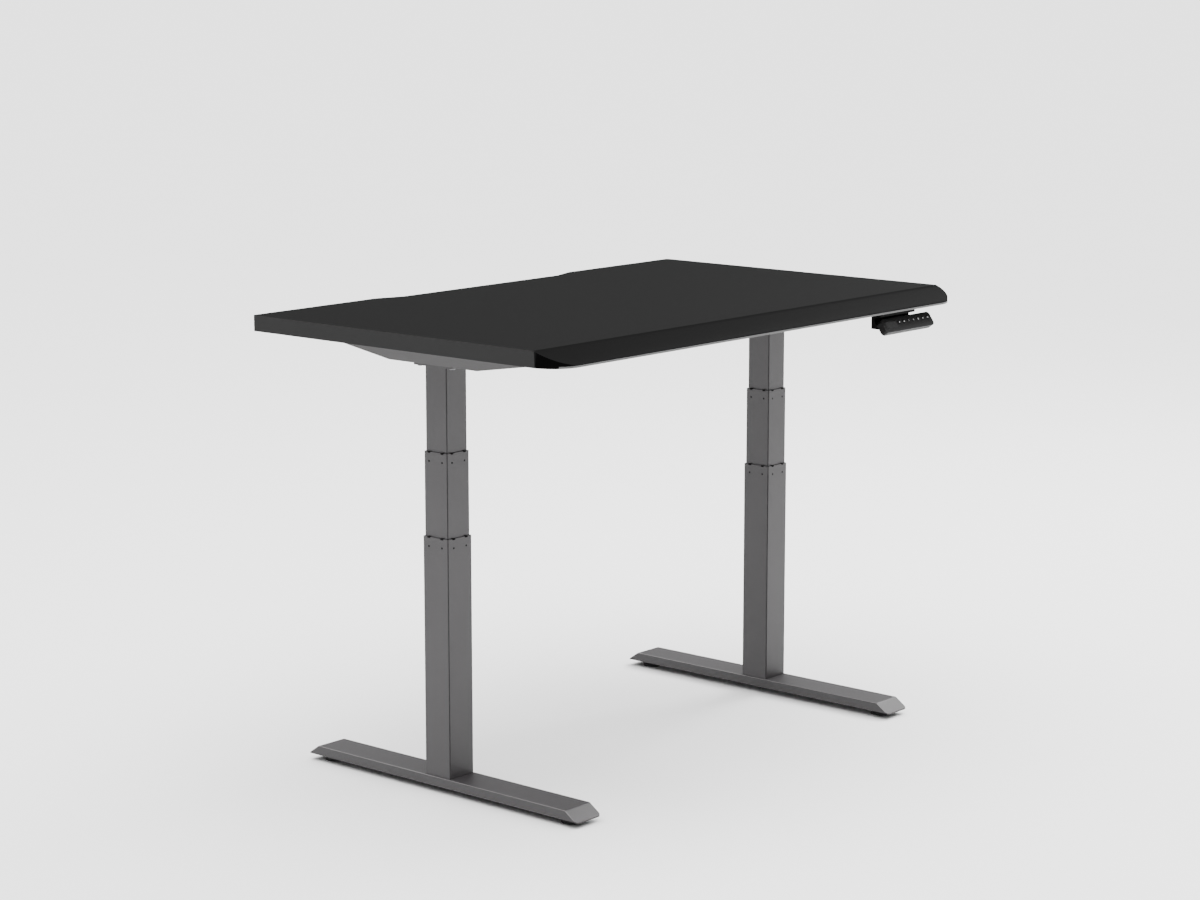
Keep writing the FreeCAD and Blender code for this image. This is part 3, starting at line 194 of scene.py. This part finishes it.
def softbox(name, position, target, size, power):
    """A large soft light aimed at a point."""
    data = bpy.data.lights.new(name, "AREA")
    data.shape = "RECTANGLE"
    data.size, data.size_y = size
    data.energy = power
    lamp = bpy.data.objects.new(name, data)
    lamp.location = position
    lamp.rotation_euler = (Vector(target) - Vector(position)).to_track_quat("-Z", "Y").to_euler()
    bpy.context.scene.collection.objects.link(lamp)


softbox("overhead_softbox", (0.0, -0.6, 4.2), (0.0, 0.0, 0.4), (4.0, 4.0), 100)
softbox("right_softbox", (3.6, -0.15, 3.5), (-0.2, -0.3, 0.1), (1.5, 1.5), 150)


# ---- Feet ----
# Pressed steel channels whose webs slope down at both tips, 690 mm long.
# They are powder coated in a fine satin grey with a trace of metal flake.
def deselect_all():
    """Leave edit mode, with nothing selected."""
    if bpy.context.object and bpy.context.object.mode != "OBJECT":
        bpy.ops.object.mode_set(mode="OBJECT")
    bpy.ops.object.select_all(action="DESELECT")


def edit(piece):
    """Go into edit mode on one piece, with all of it selected."""
    deselect_all()
    bpy.context.view_layer.objects.active = piece
    piece.select_set(True)
    bpy.ops.object.mode_set(mode="EDIT")
    bpy.ops.mesh.select_all(action="SELECT")


def apply(piece, kind, **settings):
    """Add a modifier to a piece and apply it."""
    deselect_all()
    bpy.context.view_layer.objects.active = piece
    piece.select_set(True)
    modifier = piece.modifiers.new(kind.lower(), kind)
    for setting, value in settings.items():
        setattr(modifier, setting, value)
    bpy.ops.object.modifier_apply(modifier=modifier.name)


def smooth(piece, angle):
    """Shade curved runs smooth and leave real corners crisp."""
    deselect_all()
    bpy.context.view_layer.objects.active = piece
    piece.select_set(True)
    bpy.ops.object.shade_smooth_by_angle(angle=math.radians(angle))


def stand_for(piece, node):
    """A piece rides with a CAD node's body and is shown in its stead."""
    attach(piece, body_of_node[node])
    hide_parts(node)


def eased(node, width, steps=2):
    """A copy of a CAD node with its sharp edges rounded off, which stands for the node."""
    source = frame["nodes"][node]
    piece = source.copy()
    piece.data = source.data.copy()
    piece.name = node + "_finished"
    piece.parent = None
    for key in list(piece.keys()):
        del piece[key]
    bpy.context.scene.collection.objects.link(piece)
    edit(piece)
    bpy.ops.mesh.customdata_custom_splitnormals_clear()
    bpy.ops.mesh.remove_doubles(threshold=0.00002)
    bpy.ops.mesh.dissolve_limited(angle_limit=math.radians(0.5))
    bpy.ops.object.mode_set(mode="OBJECT")
    apply(piece, "BEVEL", width=width, segments=steps, limit_method="ANGLE", angle_limit=math.radians(50))
    smooth(piece, 40)
    apply(piece, "WEIGHTED_NORMAL", keep_sharp=True)
    stand_for(piece, node)
    return piece


def give(finish, *pieces):
    """Put a finish on pieces or on CAD nodes named in full."""
    for piece in pieces:
        mesh = frame["nodes"][piece].data if isinstance(piece, str) else piece.data
        mesh.materials.clear()
        mesh.materials.append(finish.material)


bodies = frame["record"]["behaviour"]["bodies"]
body_of_node = {node: body for body, nodes in bodies.items() for node in nodes}
SIDES = ("left_", "right_")

powder_coat = Finish("grey_powder_coat", Metallic=0.15, Specular_IOR_Level=0.5)
peel = powder_coat.noise(1100.0, 3.0)
flake = powder_coat.cells(2600.0).above(0.62)
cloud = powder_coat.noise(9.0)
coat_colour = powder_coat.blend(cloud, (0.0235, 0.0215, 0.0230, 1), (0.0285, 0.0262, 0.0278, 1))
powder_coat.set("Base Color", powder_coat.blend(flake * 0.35, coat_colour, (0.07, 0.068, 0.07, 1)))
powder_coat.set("Roughness", peel * 0.16 + 0.38)
powder_coat.relief(peel, 0.00005)


def give_where(finish, piece, wanted):
    """Put a second finish on the faces of a piece that pass a test."""
    piece.data.materials.append(finish.material)
    for face in piece.data.polygons:
        if wanted(face.center, face.normal):
            face.material_index = len(piece.data.materials) - 1


def on_top_bend(at, facing):
    """Whether a face of a foot lies on the bend between its web and a flange."""
    return 0.35 < abs(facing.x) < 0.85 and facing.z > 0.3 and at.z > 0.012


# The bends along the top of each foot take a much paler copy of the grey coat. It is a painted highlight
# along that edge.
painted_highlight_coat = Finish("thin_coat_at_bends", Metallic=0.3, Specular_IOR_Level=0.5)
highlight_noise = painted_highlight_coat.noise(700.0, 3.0)
painted_highlight_coat.skin(highlight_noise, (0.105, 0.100, 0.102, 1), (0.14, 0.135, 0.138, 1), (0.3, 0.45))
for side in SIDES:
    foot = eased(side + "foot", 0.0006)
    give(powder_coat, foot)
    give_where(painted_highlight_coat, foot, on_top_bend)


# ---- Levelling feet ----
# Black moulded pads with fluted rims, each turning on a zinc plated M8 stud.
# The stud screws into a nut welded under the foot.
def turned(name, start, along, profile, sides=48):
    """A closed round piece: a disc pushed along an axis through (advance, radius) steps."""
    along = Vector(along)
    radius = profile[0][1]
    turn = Vector((0, 0, 1)).rotation_difference(along)
    deselect_all()
    bpy.ops.mesh.primitive_circle_add(vertices=sides, radius=radius, fill_type="NGON", location=start,
                                      rotation=turn.to_euler())
    piece = bpy.context.object
    piece.name = name
    bpy.ops.object.transform_apply(location=True, rotation=True, scale=True)
    edit(piece)
    centre = Vector(start)
    for advance, new_radius in profile[1:]:
        bpy.ops.mesh.extrude_region_move(TRANSFORM_OT_translate={"value": along * advance})
        centre += along * advance
        factor = new_radius / radius
        bpy.ops.transform.resize(value=(factor, factor, factor), center_override=centre)
        radius = new_radius
    bpy.ops.mesh.select_all(action="SELECT")
    bpy.ops.mesh.normals_make_consistent(inside=False)
    bpy.ops.object.mode_set(mode="OBJECT")
    return piece


def select_faces(piece, wanted):
    """Go into edit mode with only the faces that pass a test selected."""
    deselect_all()
    bpy.context.view_layer.objects.active = piece
    piece.select_set(True)
    bpy.context.tool_settings.mesh_select_mode = (False, False, True)
    for group in (piece.data.vertices, piece.data.edges, piece.data.polygons):
        for item in group:
            item.select = False
    for face in piece.data.polygons:
        face.select = wanted(face)
    bpy.ops.object.mode_set(mode="EDIT")


def twin(piece, name, matrix):
    """A copy of a piece with its own mesh, moved to its own place."""
    copy = piece.copy()
    copy.data = piece.data.copy()
    copy.name = name
    bpy.context.scene.collection.objects.link(copy)
    copy.data.transform(matrix)
    if matrix.determinant() < 0:
        copy.data.flip_normals()
    return copy


pad_rubber = Finish("black_pad_plastic", Specular_IOR_Level=0.4)
pad_grain = pad_rubber.noise(1800.0, 3.0)
pad_rubber.skin(pad_grain, grey(0.010), grey(0.020), (0.5, 0.7), 0.00008)

zinc = Finish("zinc_plate", Metallic=1.0)
zinc_cloud = zinc.noise(260.0, 4.0)
zinc.skin(zinc_cloud, (0.11, 0.11, 0.115, 1), (0.16, 0.16, 0.165, 1), (0.28, 0.48))

pad_sides = 72


def is_flute(face):
    """Whether a face is every second one round the pad's rim."""
    at = face.center
    on_rim = abs(face.normal.z) < 0.3 and at.z < 0.0058 and math.hypot(at.x, at.y) > 0.019
    step = math.degrees(math.atan2(at.y, at.x)) / (360 / pad_sides)
    return on_rim and round(step - 0.5) % 2 == 0


first_pad = turned("pad_model", (0, 0, 0), (0, 0, 1), [
    (0, 0.0188), (0.0008, 0.0199), (0.0052, 0.0196), (0.0012, 0.0186), (0.0004, 0.0172), (0.0, 0.0150),
    (-0.0006, 0.0142), (0.0, 0.0092), (0.0040, 0.0084), (0.0, 0.0042)], pad_sides)
select_faces(first_pad, is_flute)
bpy.ops.mesh.inset(thickness=0.0002, depth=-0.0006, use_individual=True)
bpy.ops.object.mode_set(mode="OBJECT")
stud_seat = 0.0040
flange_height = 0.0020
pocket = turned("pad_pocket", (0, 0, stud_seat - 0.00005), (0, 0, 1), [
    (0, 0.0070), (flange_height + 0.0001, 0.0070), (0, 0.0041), (0.02, 0.0041)])
apply(first_pad, "BOOLEAN", object=pocket, operation="DIFFERENCE", solver="EXACT")
bpy.data.objects.remove(pocket)
smooth(first_pad, 30)

thread = [(0, 0.0062), (0.0003, 0.0065), (flange_height - 0.0006, 0.0065), (0.0003, 0.0062), (0, 0.0034)]
grooves = 15
thread_pitch = (0.022 - flange_height) / (grooves + 0.5)
for groove in range(grooves):
    thread += [(thread_pitch / 2, 0.00398), (thread_pitch / 2, 0.00340)]
thread.append((thread_pitch / 2, 0.0030))
first_stud = turned("stud_model", (0, 0, stud_seat), (0, 0, 1), thread, 32)
smooth(first_stud, 60)

for side in SIDES:
    for end in ("front_", "rear_"):
        low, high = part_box(side + end + "pad")
        place = Matrix.Translation(((low.x + high.x) / 2, (low.y + high.y) / 2, 0))
        pad = twin(first_pad, side + end + "pad_moulding", place)
        give(pad_rubber, pad)
        stand_for(pad, side + end + "pad")
        stud = twin(first_stud, side + end + "threaded_stud", place)
        give(zinc, stud)
        stand_for(stud, side + end + "stud")
bpy.data.objects.remove(first_pad)
bpy.data.objects.remove(first_stud)


# ---- Bolts that hold the columns to the feet ----
# Zinc plated socket head bolts, one long one in a sleeve on each column's axis.
# Four short ones about it clamp the column's base plate from below.
def hexagon_socket(piece, mouth, along, across, depth):
    """Sink a hexagon socket into a piece, from its mouth along a direction."""
    centre = Vector(mouth) + Vector(along) * (depth / 2 - 0.0005)
    turn = Vector((0, 0, 1)).rotation_difference(Vector(along))
    deselect_all()
    bpy.ops.mesh.primitive_cylinder_add(vertices=6, radius=across / math.sqrt(3), depth=depth + 0.001,
                                        location=centre, rotation=turn.to_euler())
    key = bpy.context.object
    apply(piece, "BOOLEAN", object=key, operation="DIFFERENCE", solver="EXACT")
    bpy.data.objects.remove(key)


def bolt_model(name, sleeve):
    """A socket head bolt pointing up, its seat at the origin."""
    mouth = (0, 0, -0.005 - sleeve)
    reach = 0.009 if sleeve == 0 else 0.0185
    bolt = turned(name, mouth, (0, 0, 1), [
        (0, 0.0057), (0.0003, 0.0062), (0.0004, 0.0065), (0.0043 + sleeve, 0.0065), (0, 0.004),
        (reach - 0.0005, 0.004), (0.0005, 0.0035)], 40)
    hexagon_socket(bolt, mouth, (0, 0, 1), 0.006, 0.003)
    smooth(bolt, 40)
    return bolt


plate_bolt = bolt_model("plate_bolt_model", 0)
centre_bolt = bolt_model("centre_bolt_model", 0.022)
bolt_places = ((0, 0), (-0.02, -0.02), (0.02, -0.02), (-0.02, 0.02), (0.02, 0.02))
under_web = 0.029
for side in SIDES:
    low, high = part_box(side + "outer_tube")
    middle = (low + high) / 2
    for number, (x, y) in enumerate(bolt_places):
        model = centre_bolt if number == 0 else plate_bolt
        place = Matrix.Translation((middle.x + x, middle.y + y, under_web))
        bolt = twin(model, side + "column_bolt_" + str(number), place)
        give(zinc, bolt)
        stand_for(bolt, "foot_bolts")
bpy.data.objects.remove(plate_bolt)
bpy.data.objects.remove(centre_bolt)


# ---- Column tubes ----
# Rolled square steel tubes, three to a leg, coated like the feet.
# The outer and middle ones have drillings for the glides' pips near their rims.
def on_corner(at, facing):
    """Whether a face of a tube lies on one of its rolled corners."""
    return min(abs(facing.x), abs(facing.y)) > 0.5


# The rolled corners of every tube are painted near black. It is a painted dark reflection in the rounded
# corners, not a separate coat.
painted_corner_reflection = Finish("painted_dark_reflection_at_corners", Specular_IOR_Level=0.1)
corner_reflection_noise = painted_corner_reflection.noise(700.0, 3.0)
painted_corner_reflection.skin(corner_reflection_noise, grey(0.006), grey(0.011), (0.45, 0.6))
for side in SIDES:
    for stage in ("outer_tube", "middle_tube", "inner_tube"):
        tube = eased(side + stage, 0.0003)
        give(powder_coat, tube)
        give_where(painted_corner_reflection, tube, on_corner)


# ---- Glides ----
# Acetal liners between the tubes, hooked over each rim and snapped into the drillings.
# They are self coloured black with a dull moulded face.
acetal = Finish("black_acetal", Specular_IOR_Level=0.03)
acetal_grain = acetal.noise(900.0, 3.0)
acetal.skin(acetal_grain, grey(0.0006), grey(0.0016), (0.34, 0.48), 0.00003)
give(acetal, eased("outer_glides", 0.0002), eased("inner_glides", 0.0002),
     eased("left_middle_glides", 0.0002), eased("right_middle_glides", 0.0002))


# ---- Spindles ----
# Ground steel screws and rods with acme threads, running in brass nuts inside the columns.
# The lower nut is spigoted into a tube on the column's floor.
spindle_steel = Finish("oiled_spindle_steel", Metallic=1.0)
turns_per_metre = 250
spindle_thread = (spindle_steel.axis("Z") * (2 * math.pi * turns_per_metre)).sine() * 0.5 + 0.5
spindle_film = spindle_steel.noise(120.0, 3.0)
spindle_steel.skin(spindle_film, grey(0.30), grey(0.45), (0.22, 0.42))
spindle_steel.relief(spindle_thread, 0.0008)
give(spindle_steel, "left_lead_screw", "right_lead_screw", "left_drive_rod", "right_drive_rod")
give(zinc, eased("spindle_tubes", 0.0003))
brass = Finish("machined_brass", Metallic=1.0)
brass_rings = brass.noise(40.0, 3.0, (1.0, 1.0, 30.0))
brass.skin(brass_rings, (0.55, 0.38, 0.15, 1), (0.70, 0.52, 0.24, 1), (0.25, 0.45))
give(brass, eased("spindle_nuts", 0.0003), "left_worm_wheel", "right_worm_wheel")


# ---- Head plates, side brackets and rails ----
# The bent and welded steelwork under the desktop, in the same grey coat.
# The rail ends telescope in the rails and meet the brackets with flat plates.
for node in ("left_head_plate", "right_head_plate", "rails", "rail_ends"):
    give(powder_coat, eased(node, 0.0005))
pale_coat = Finish("pale_grey_powder_coat", Metallic=0.15, Specular_IOR_Level=0.5)
pale_peel = pale_coat.noise(1100.0, 3.0)
pale_cloud = pale_coat.noise(9.0)
pale_coat.set("Base Color", pale_coat.blend(pale_cloud, (0.056, 0.054, 0.055, 1), (0.066, 0.064, 0.065, 1)))
pale_coat.set("Roughness", pale_peel * 0.16 + 0.38)
pale_coat.relief(pale_peel, 0.00005)
give(pale_coat, eased("left_side_bracket", 0.0005), eased("right_side_bracket", 0.0005))


# ---- Gearboxes ----
# Die cast alloy cases between each head plate and bracket web, left as cast.
# Each holds a brass worm wheel on the top of its drive rod.
cast_alloy = Finish("as_cast_alloy", Metallic=0.9)
cast_skin = cast_alloy.noise(600.0, 4.0)
cast_alloy.skin(cast_skin, grey(0.34), grey(0.48), (0.45, 0.65), 0.0001)
give(cast_alloy, eased("left_gearbox", 0.0006), eased("right_gearbox", 0.0006))


# ---- Motors ----
# Direct current motors in rolled steel cans, lying between the rails and painted satin black.
# Each has a ribbed end bell with four screws, and a ribbed gland for its lead.
motor_paint = Finish("motor_black", Specular_IOR_Level=0.5)
motor_film = motor_paint.noise(700.0, 3.0)
motor_paint.skin(motor_film, grey(0.014), grey(0.024), (0.32, 0.47), 0.00004)
low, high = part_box("right_motor")
motor_axis = Vector((high.x, (low.y + high.y) / 2, (low.z + high.z) / 2))
can = [(0.0, 0.0110), (0.0100, 0.0110), (0.0, 0.0208), (0.0010, 0.0220), (0.0110, 0.0220)]
can += [(0.0, 0.0250), (0.0010, 0.0260)]
for rib in range(4):
    can += [(0.0030, 0.0260), (0.0004, 0.0253), (0.0012, 0.0253), (0.0004, 0.0260)]
can += [(0.0510, 0.0260), (0.0004, 0.0250), (0.0008, 0.0250), (0.0004, 0.0260), (0.0194, 0.0260)]
can += [(0.0010, 0.0248), (0.0, 0.0219), (0.0100, 0.0219), (0.0020, 0.0200), (0.0, 0.0064)]
right_motor = turned("right_motor_can", motor_axis, (-1, 0, 0), can, 96)
smooth(right_motor, 30)
gland_length = 0.005
end_x = low.x + gland_length
gland = [(0.0, 0.0050)]
for ring in range(3):
    gland += [(0.0010, 0.0050), (0.0001, 0.0042), (0.0005, 0.0042), (0.0001, 0.0050)]
right_gland = turned("right_motor_gland", (end_x, motor_axis.y, motor_axis.z), (-1, 0, 0), gland, 40)
smooth(right_gland, 40)
give(motor_paint, right_motor)
give(acetal, right_gland)
motor_pieces = [right_motor, right_gland]
bell_screw = turned("bell_screw_model", (end_x, 0, 0), (-1, 0, 0), [
    (0.0, 0.0022), (0.0008, 0.0022), (0.0004, 0.0017), (0.0001, 0.0010)], 24)
smooth(bell_screw, 40)
give(zinc, bell_screw)
bell_screw_circle = 0.015
for number in range(4):
    angle = math.radians(45 + 90 * number)
    y = motor_axis.y + bell_screw_circle * math.cos(angle)
    z = motor_axis.z + bell_screw_circle * math.sin(angle)
    place = Matrix.Translation((0, y, z))
    motor_pieces.append(twin(bell_screw, "right_bell_screw_" + str(number), place))
bpy.data.objects.remove(bell_screw)
mirror = Matrix.Diagonal((-1, 1, 1, 1))
for piece in motor_pieces:
    other = twin(piece, piece.name.replace("right", "left"), mirror)
    stand_for(piece, "right_motor")
    stand_for(other, "left_motor")


# ---- Frame screws ----
# Zinc plated button head screws with hexagon sockets, 6 mm by 16 mm.
# They hold the head plates, the rail ends, the desktop and the control box's ears.
button_head = turned("frame_screw_model", (0, 0, -0.003), (0, 0, 1), [
    (0, 0.0026), (0.0002, 0.0038), (0.0006, 0.0048), (0.0008, 0.0053), (0.0008, 0.0055), (0.0006, 0.0055),
    (0, 0.003), (0.0155, 0.003), (0.0005, 0.0025)], 40)
hexagon_socket(button_head, (0, 0, -0.003), (0, 0, 1), 0.004, 0.002)
smooth(button_head, 40)
give(zinc, button_head)
upward = Vector((0, 0, 1))
column_x, column_y = 0.48, 0.006
head_plate_seat, bracket_seat, ear_seat = 0.8045, 0.8435, 0.842
screw_places = []
for side in (-1, 1):
    column = Vector((side * column_x, column_y, 0))
    for x in (-0.025, 0.025):
        for y in (-0.0405, 0.0405):
            screw_places.append((column + Vector((x, y, head_plate_seat)), upward))
    for y in (-0.22, -0.14, 0.14, 0.22):
        screw_places.append((column + Vector((0, y, bracket_seat)), upward))
    for y in (-0.060, 0.060):
        for z in (0.81495, 0.83695):
            screw_places.append((Vector((side * 0.442, column_y + y, z)), Vector((side, 0, 0))))
    screw_places.append((Vector((side * 0.127, 0.185, ear_seat)), upward))
for number, (seat, along) in enumerate(screw_places):
    turn = upward.rotation_difference(along).to_matrix().to_4x4()
    screw = twin(button_head, "frame_screw_" + str(number + 1), Matrix.Translation(seat) @ turn)
    stand_for(screw, "frame_screws")
bpy.data.objects.remove(button_head)


# ---- Desktop ----
# A 30 mm board under black laminate with a very fine pebble, rounded over along its front.
# Its side and rear edges are coloured paler than its top, and are smoother.
laminate = Finish("black_laminate", Specular_IOR_Level=0.022)
pebble = laminate.cells(1500.0)
grain = laminate.noise(2400.0, 3.0)
# Past these edges the board is coloured paler and its pebble relief is softened.
paler_from_x, paler_from_y = 0.60925, 0.38065
to_side = (abs(laminate.axis("X")) - paler_from_x).above(0.0)
to_rear = (laminate.axis("Y") - paler_from_y).above(0.0)
paler_edges = to_side.math("MAXIMUM", to_side, to_rear)
face_colour = laminate.blend(grain, grey(0.0018), grey(0.0042))
paler_edge_colour = laminate.blend(grain, grey(0.021), grey(0.027))
laminate.set("Base Color", laminate.blend(paler_edges, face_colour, paler_edge_colour))
laminate.set("Roughness", grain * 0.12 + 0.5)
laminate.relief((1.0 - pebble) * (1.0 - paler_edges * 0.7), 0.00012)
# The rounded front takes a darker, less glossy copy of the same laminate. It is painted shade on the front.
painted_shade_nose_laminate = Finish("black_laminate_painted_nose_shade", Specular_IOR_Level=0.01)
nose_grain = painted_shade_nose_laminate.noise(2400.0, 3.0)
painted_shade_nose_laminate.skin(nose_grain, grey(0.0008), grey(0.0018), (0.5, 0.6), 0.00005)


def on_nose(at, facing):
    """Whether a face of the desktop lies on its rounded front."""
    return at.y < -0.322 and facing.y < -0.15 and facing.z > -0.9


desktop = eased("desktop", 0.0007)
give(laminate, desktop)
give_where(painted_shade_nose_laminate, desktop, on_nose)


# ---- Front edge strip ----
# A satin grey strip let into the foot of the rounded front, flush with the underside.
# It is extruded and pressed into its groove.
strip_finish = Finish("satin_grey_strip", Metallic=0.3, Specular_IOR_Level=0.5)
draw_lines = strip_finish.noise(120.0, 3.0, (0.02, 1.0, 8.0))
strip_finish.skin(draw_lines, grey(0.06), grey(0.09), (0.3, 0.45))
give(strip_finish, eased("front_strip", 0.0004))


# ---- Handset ----
# A slim moulded housing that hangs under the front edge, its face tilted up towards the hand.
# The face is finely spark textured, and the display hides behind a smoked window at its left.
housing = Finish("textured_black_housing", Specular_IOR_Level=0.12)
spark = housing.noise(2600.0, 4.0)
# The left end of the handset's shell is painted darker. It is painted shade on the end face, which is
# turned from the light. The control box, in the same finish, lies short of it.
end_from, end_until = 0.3, 0.3628
end_shade_ramp = ((end_until - housing.axis("X")) * 900.0).clamped()
painted_end_shade = end_shade_ramp * housing.axis("X").above(end_from)
face_tone = housing.blend(spark, grey(0.003), grey(0.009))
housing.set("Base Color", housing.blend(painted_end_shade, face_tone, grey(0.0008)))
housing.set("Roughness", spark * 0.2 + 0.42)
housing.relief(spark, 0.00010)
give(housing, eased("handset_shell", 0.0011, 3))
give(acetal, eased("handset_mount", 0.0006))
smoked = Finish("smoked_window", Specular_IOR_Level=0.2)
smoked_haze = smoked.noise(300.0)
smoked.skin(smoked_haze, grey(0.003), grey(0.006), (0.12, 0.18))
give(smoked, eased("handset_lens", 0.0003, 3))
board_green = Finish("green_circuit_board", Specular_IOR_Level=0.5)
traces = board_green.node("ShaderNodeTexBrick", {"offset": 0.5}, {
    "Vector": board_green.place(), "Scale": 180.0, "Mortar Size": 0.04, "Color1": (0.010, 0.085, 0.035, 1),
    "Color2": (0.012, 0.095, 0.040, 1), "Mortar": (0.05, 0.19, 0.08, 1)}, "Color")
board_green.set("Base Color", traces)
board_green.set("Roughness", board_green.noise(400.0) * 0.1 + 0.3)
give(board_green, "handset_board", "control_board")


# ---- Push buttons ----
# Seven round dished keys with pale printed signs: up, down, four stored heights and store.
# Each rests on a dome switch and is kept in by a flange behind the face.
low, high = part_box("handset_shell")
face_tilt = 55
tilt = Matrix.Rotation(math.radians(face_tilt), 4, "X")
face_centre = Vector(((low.x + high.x) / 2, -0.3722, 0.821))
on_face = Matrix.Translation(face_centre) @ tilt
key_plastic = Finish("black_key_plastic", Specular_IOR_Level=0.1)
key_grain = key_plastic.noise(1500.0)
key_plastic.skin(key_grain, grey(0.0006), grey(0.0012), (0.3, 0.4))
print_white = Finish("pale_print", Specular_IOR_Level=0.3)
print_grain = print_white.noise(2000.0)
print_white.skin(print_grain, grey(0.55), grey(0.65), (0.5, 0.6))
key_model = turned("key_model", (0, 0, -0.005), (0, 0, 1), [
    (0, 0.0044), (0.0004, 0.0048), (0.00155, 0.0048), (0, 0.0060), (0.0010, 0.0060), (0, 0.0048),
    (0.00240, 0.0048), (0.00030, 0.0046), (0.00012, 0.0042), (0.00003, 0.0038), (-0.00012, 0.0034),
    (-0.00010, 0.0026), (-0.00003, 0.0012)], 48)
smooth(key_model, 30)
give(key_plastic, key_model)
signs = ("up", "down", "1", "2", "3", "4", "store")
first_key, key_pitch, key_row = -0.0264, 0.0161, 0.003
for number, sign in enumerate(signs):
    at_key = on_face @ Matrix.Translation((first_key + key_pitch * number, key_row, 0))
    key = twin(key_model, "key_" + str(number + 1), at_key)
    deselect_all()
    if sign.isdigit():
        bpy.ops.object.text_add()
        figure = bpy.context.object.data
        figure.body = sign
        figure.size = 0.0050
        figure.offset = 0.00012
        figure.align_x = "CENTER"
        figure.align_y = "CENTER"
        figure.extrude = 0.00003
        figure.resolution_u = 4
        bpy.ops.object.convert(target="MESH")
    elif sign == "store":
        bpy.ops.mesh.primitive_torus_add(major_radius=0.0014, minor_radius=0.0003, major_segments=32,
                                         minor_segments=6)
        bpy.ops.object.mode_set(mode="EDIT")
        bpy.ops.transform.resize(value=(1, 1, 0.12))
        bpy.ops.object.mode_set(mode="OBJECT")
    else:
        bpy.ops.mesh.primitive_cylinder_add(vertices=3, radius=0.0019, depth=0.00006,
                                            rotation=(0, 0, math.radians(0 if sign == "up" else 180)))
        bpy.ops.object.transform_apply(location=True, rotation=True, scale=True)
        apply(bpy.context.object, "BEVEL", width=0.0004, segments=3, limit_method="ANGLE",
              angle_limit=math.radians(100))
    mark = bpy.context.object
    mark.name = "key_sign_" + str(number + 1)
    mark.data.transform(at_key @ Matrix.Translation((0, 0, 0.00060)))
    mark.matrix_world = Matrix.Identity(4)
    give(print_white, mark)
    stand_for(key, "button_" + str(number + 1))
    stand_for(mark, "button_" + str(number + 1))
bpy.data.objects.remove(key_model)


# ---- Control box ----
# A moulded housing screwed up behind the frame, with a slotted cover below it.
# A three pin mains inlet snaps into its rear wall.
give(housing, eased("control_box", 0.0009, 3), eased("control_box_lid", 0.0004))
inlet_finish = Finish("inlet_plastic", Specular_IOR_Level=0.5)
inlet_grain = inlet_finish.noise(1500.0)
inlet_finish.skin(inlet_grain, grey(0.010), grey(0.018), (0.4, 0.5))
give(inlet_finish, eased("power_inlet", 0.0004))


# ---- Leads and clips ----
# Round PVC leads from both motors and the handset to the control box, held up all the way.
# Small moulded saddles hold them under the rails and under the desktop.
jacket = Finish("black_lead_jacket", Specular_IOR_Level=0.5)
jacket_skin = jacket.noise(800.0, 3.0)
jacket.skin(jacket_skin, grey(0.010), grey(0.018), (0.4, 0.55), 0.00004)
give(jacket, "motor_leads", "handset_lead")
give(acetal, eased("cable_clips", 0.0005))
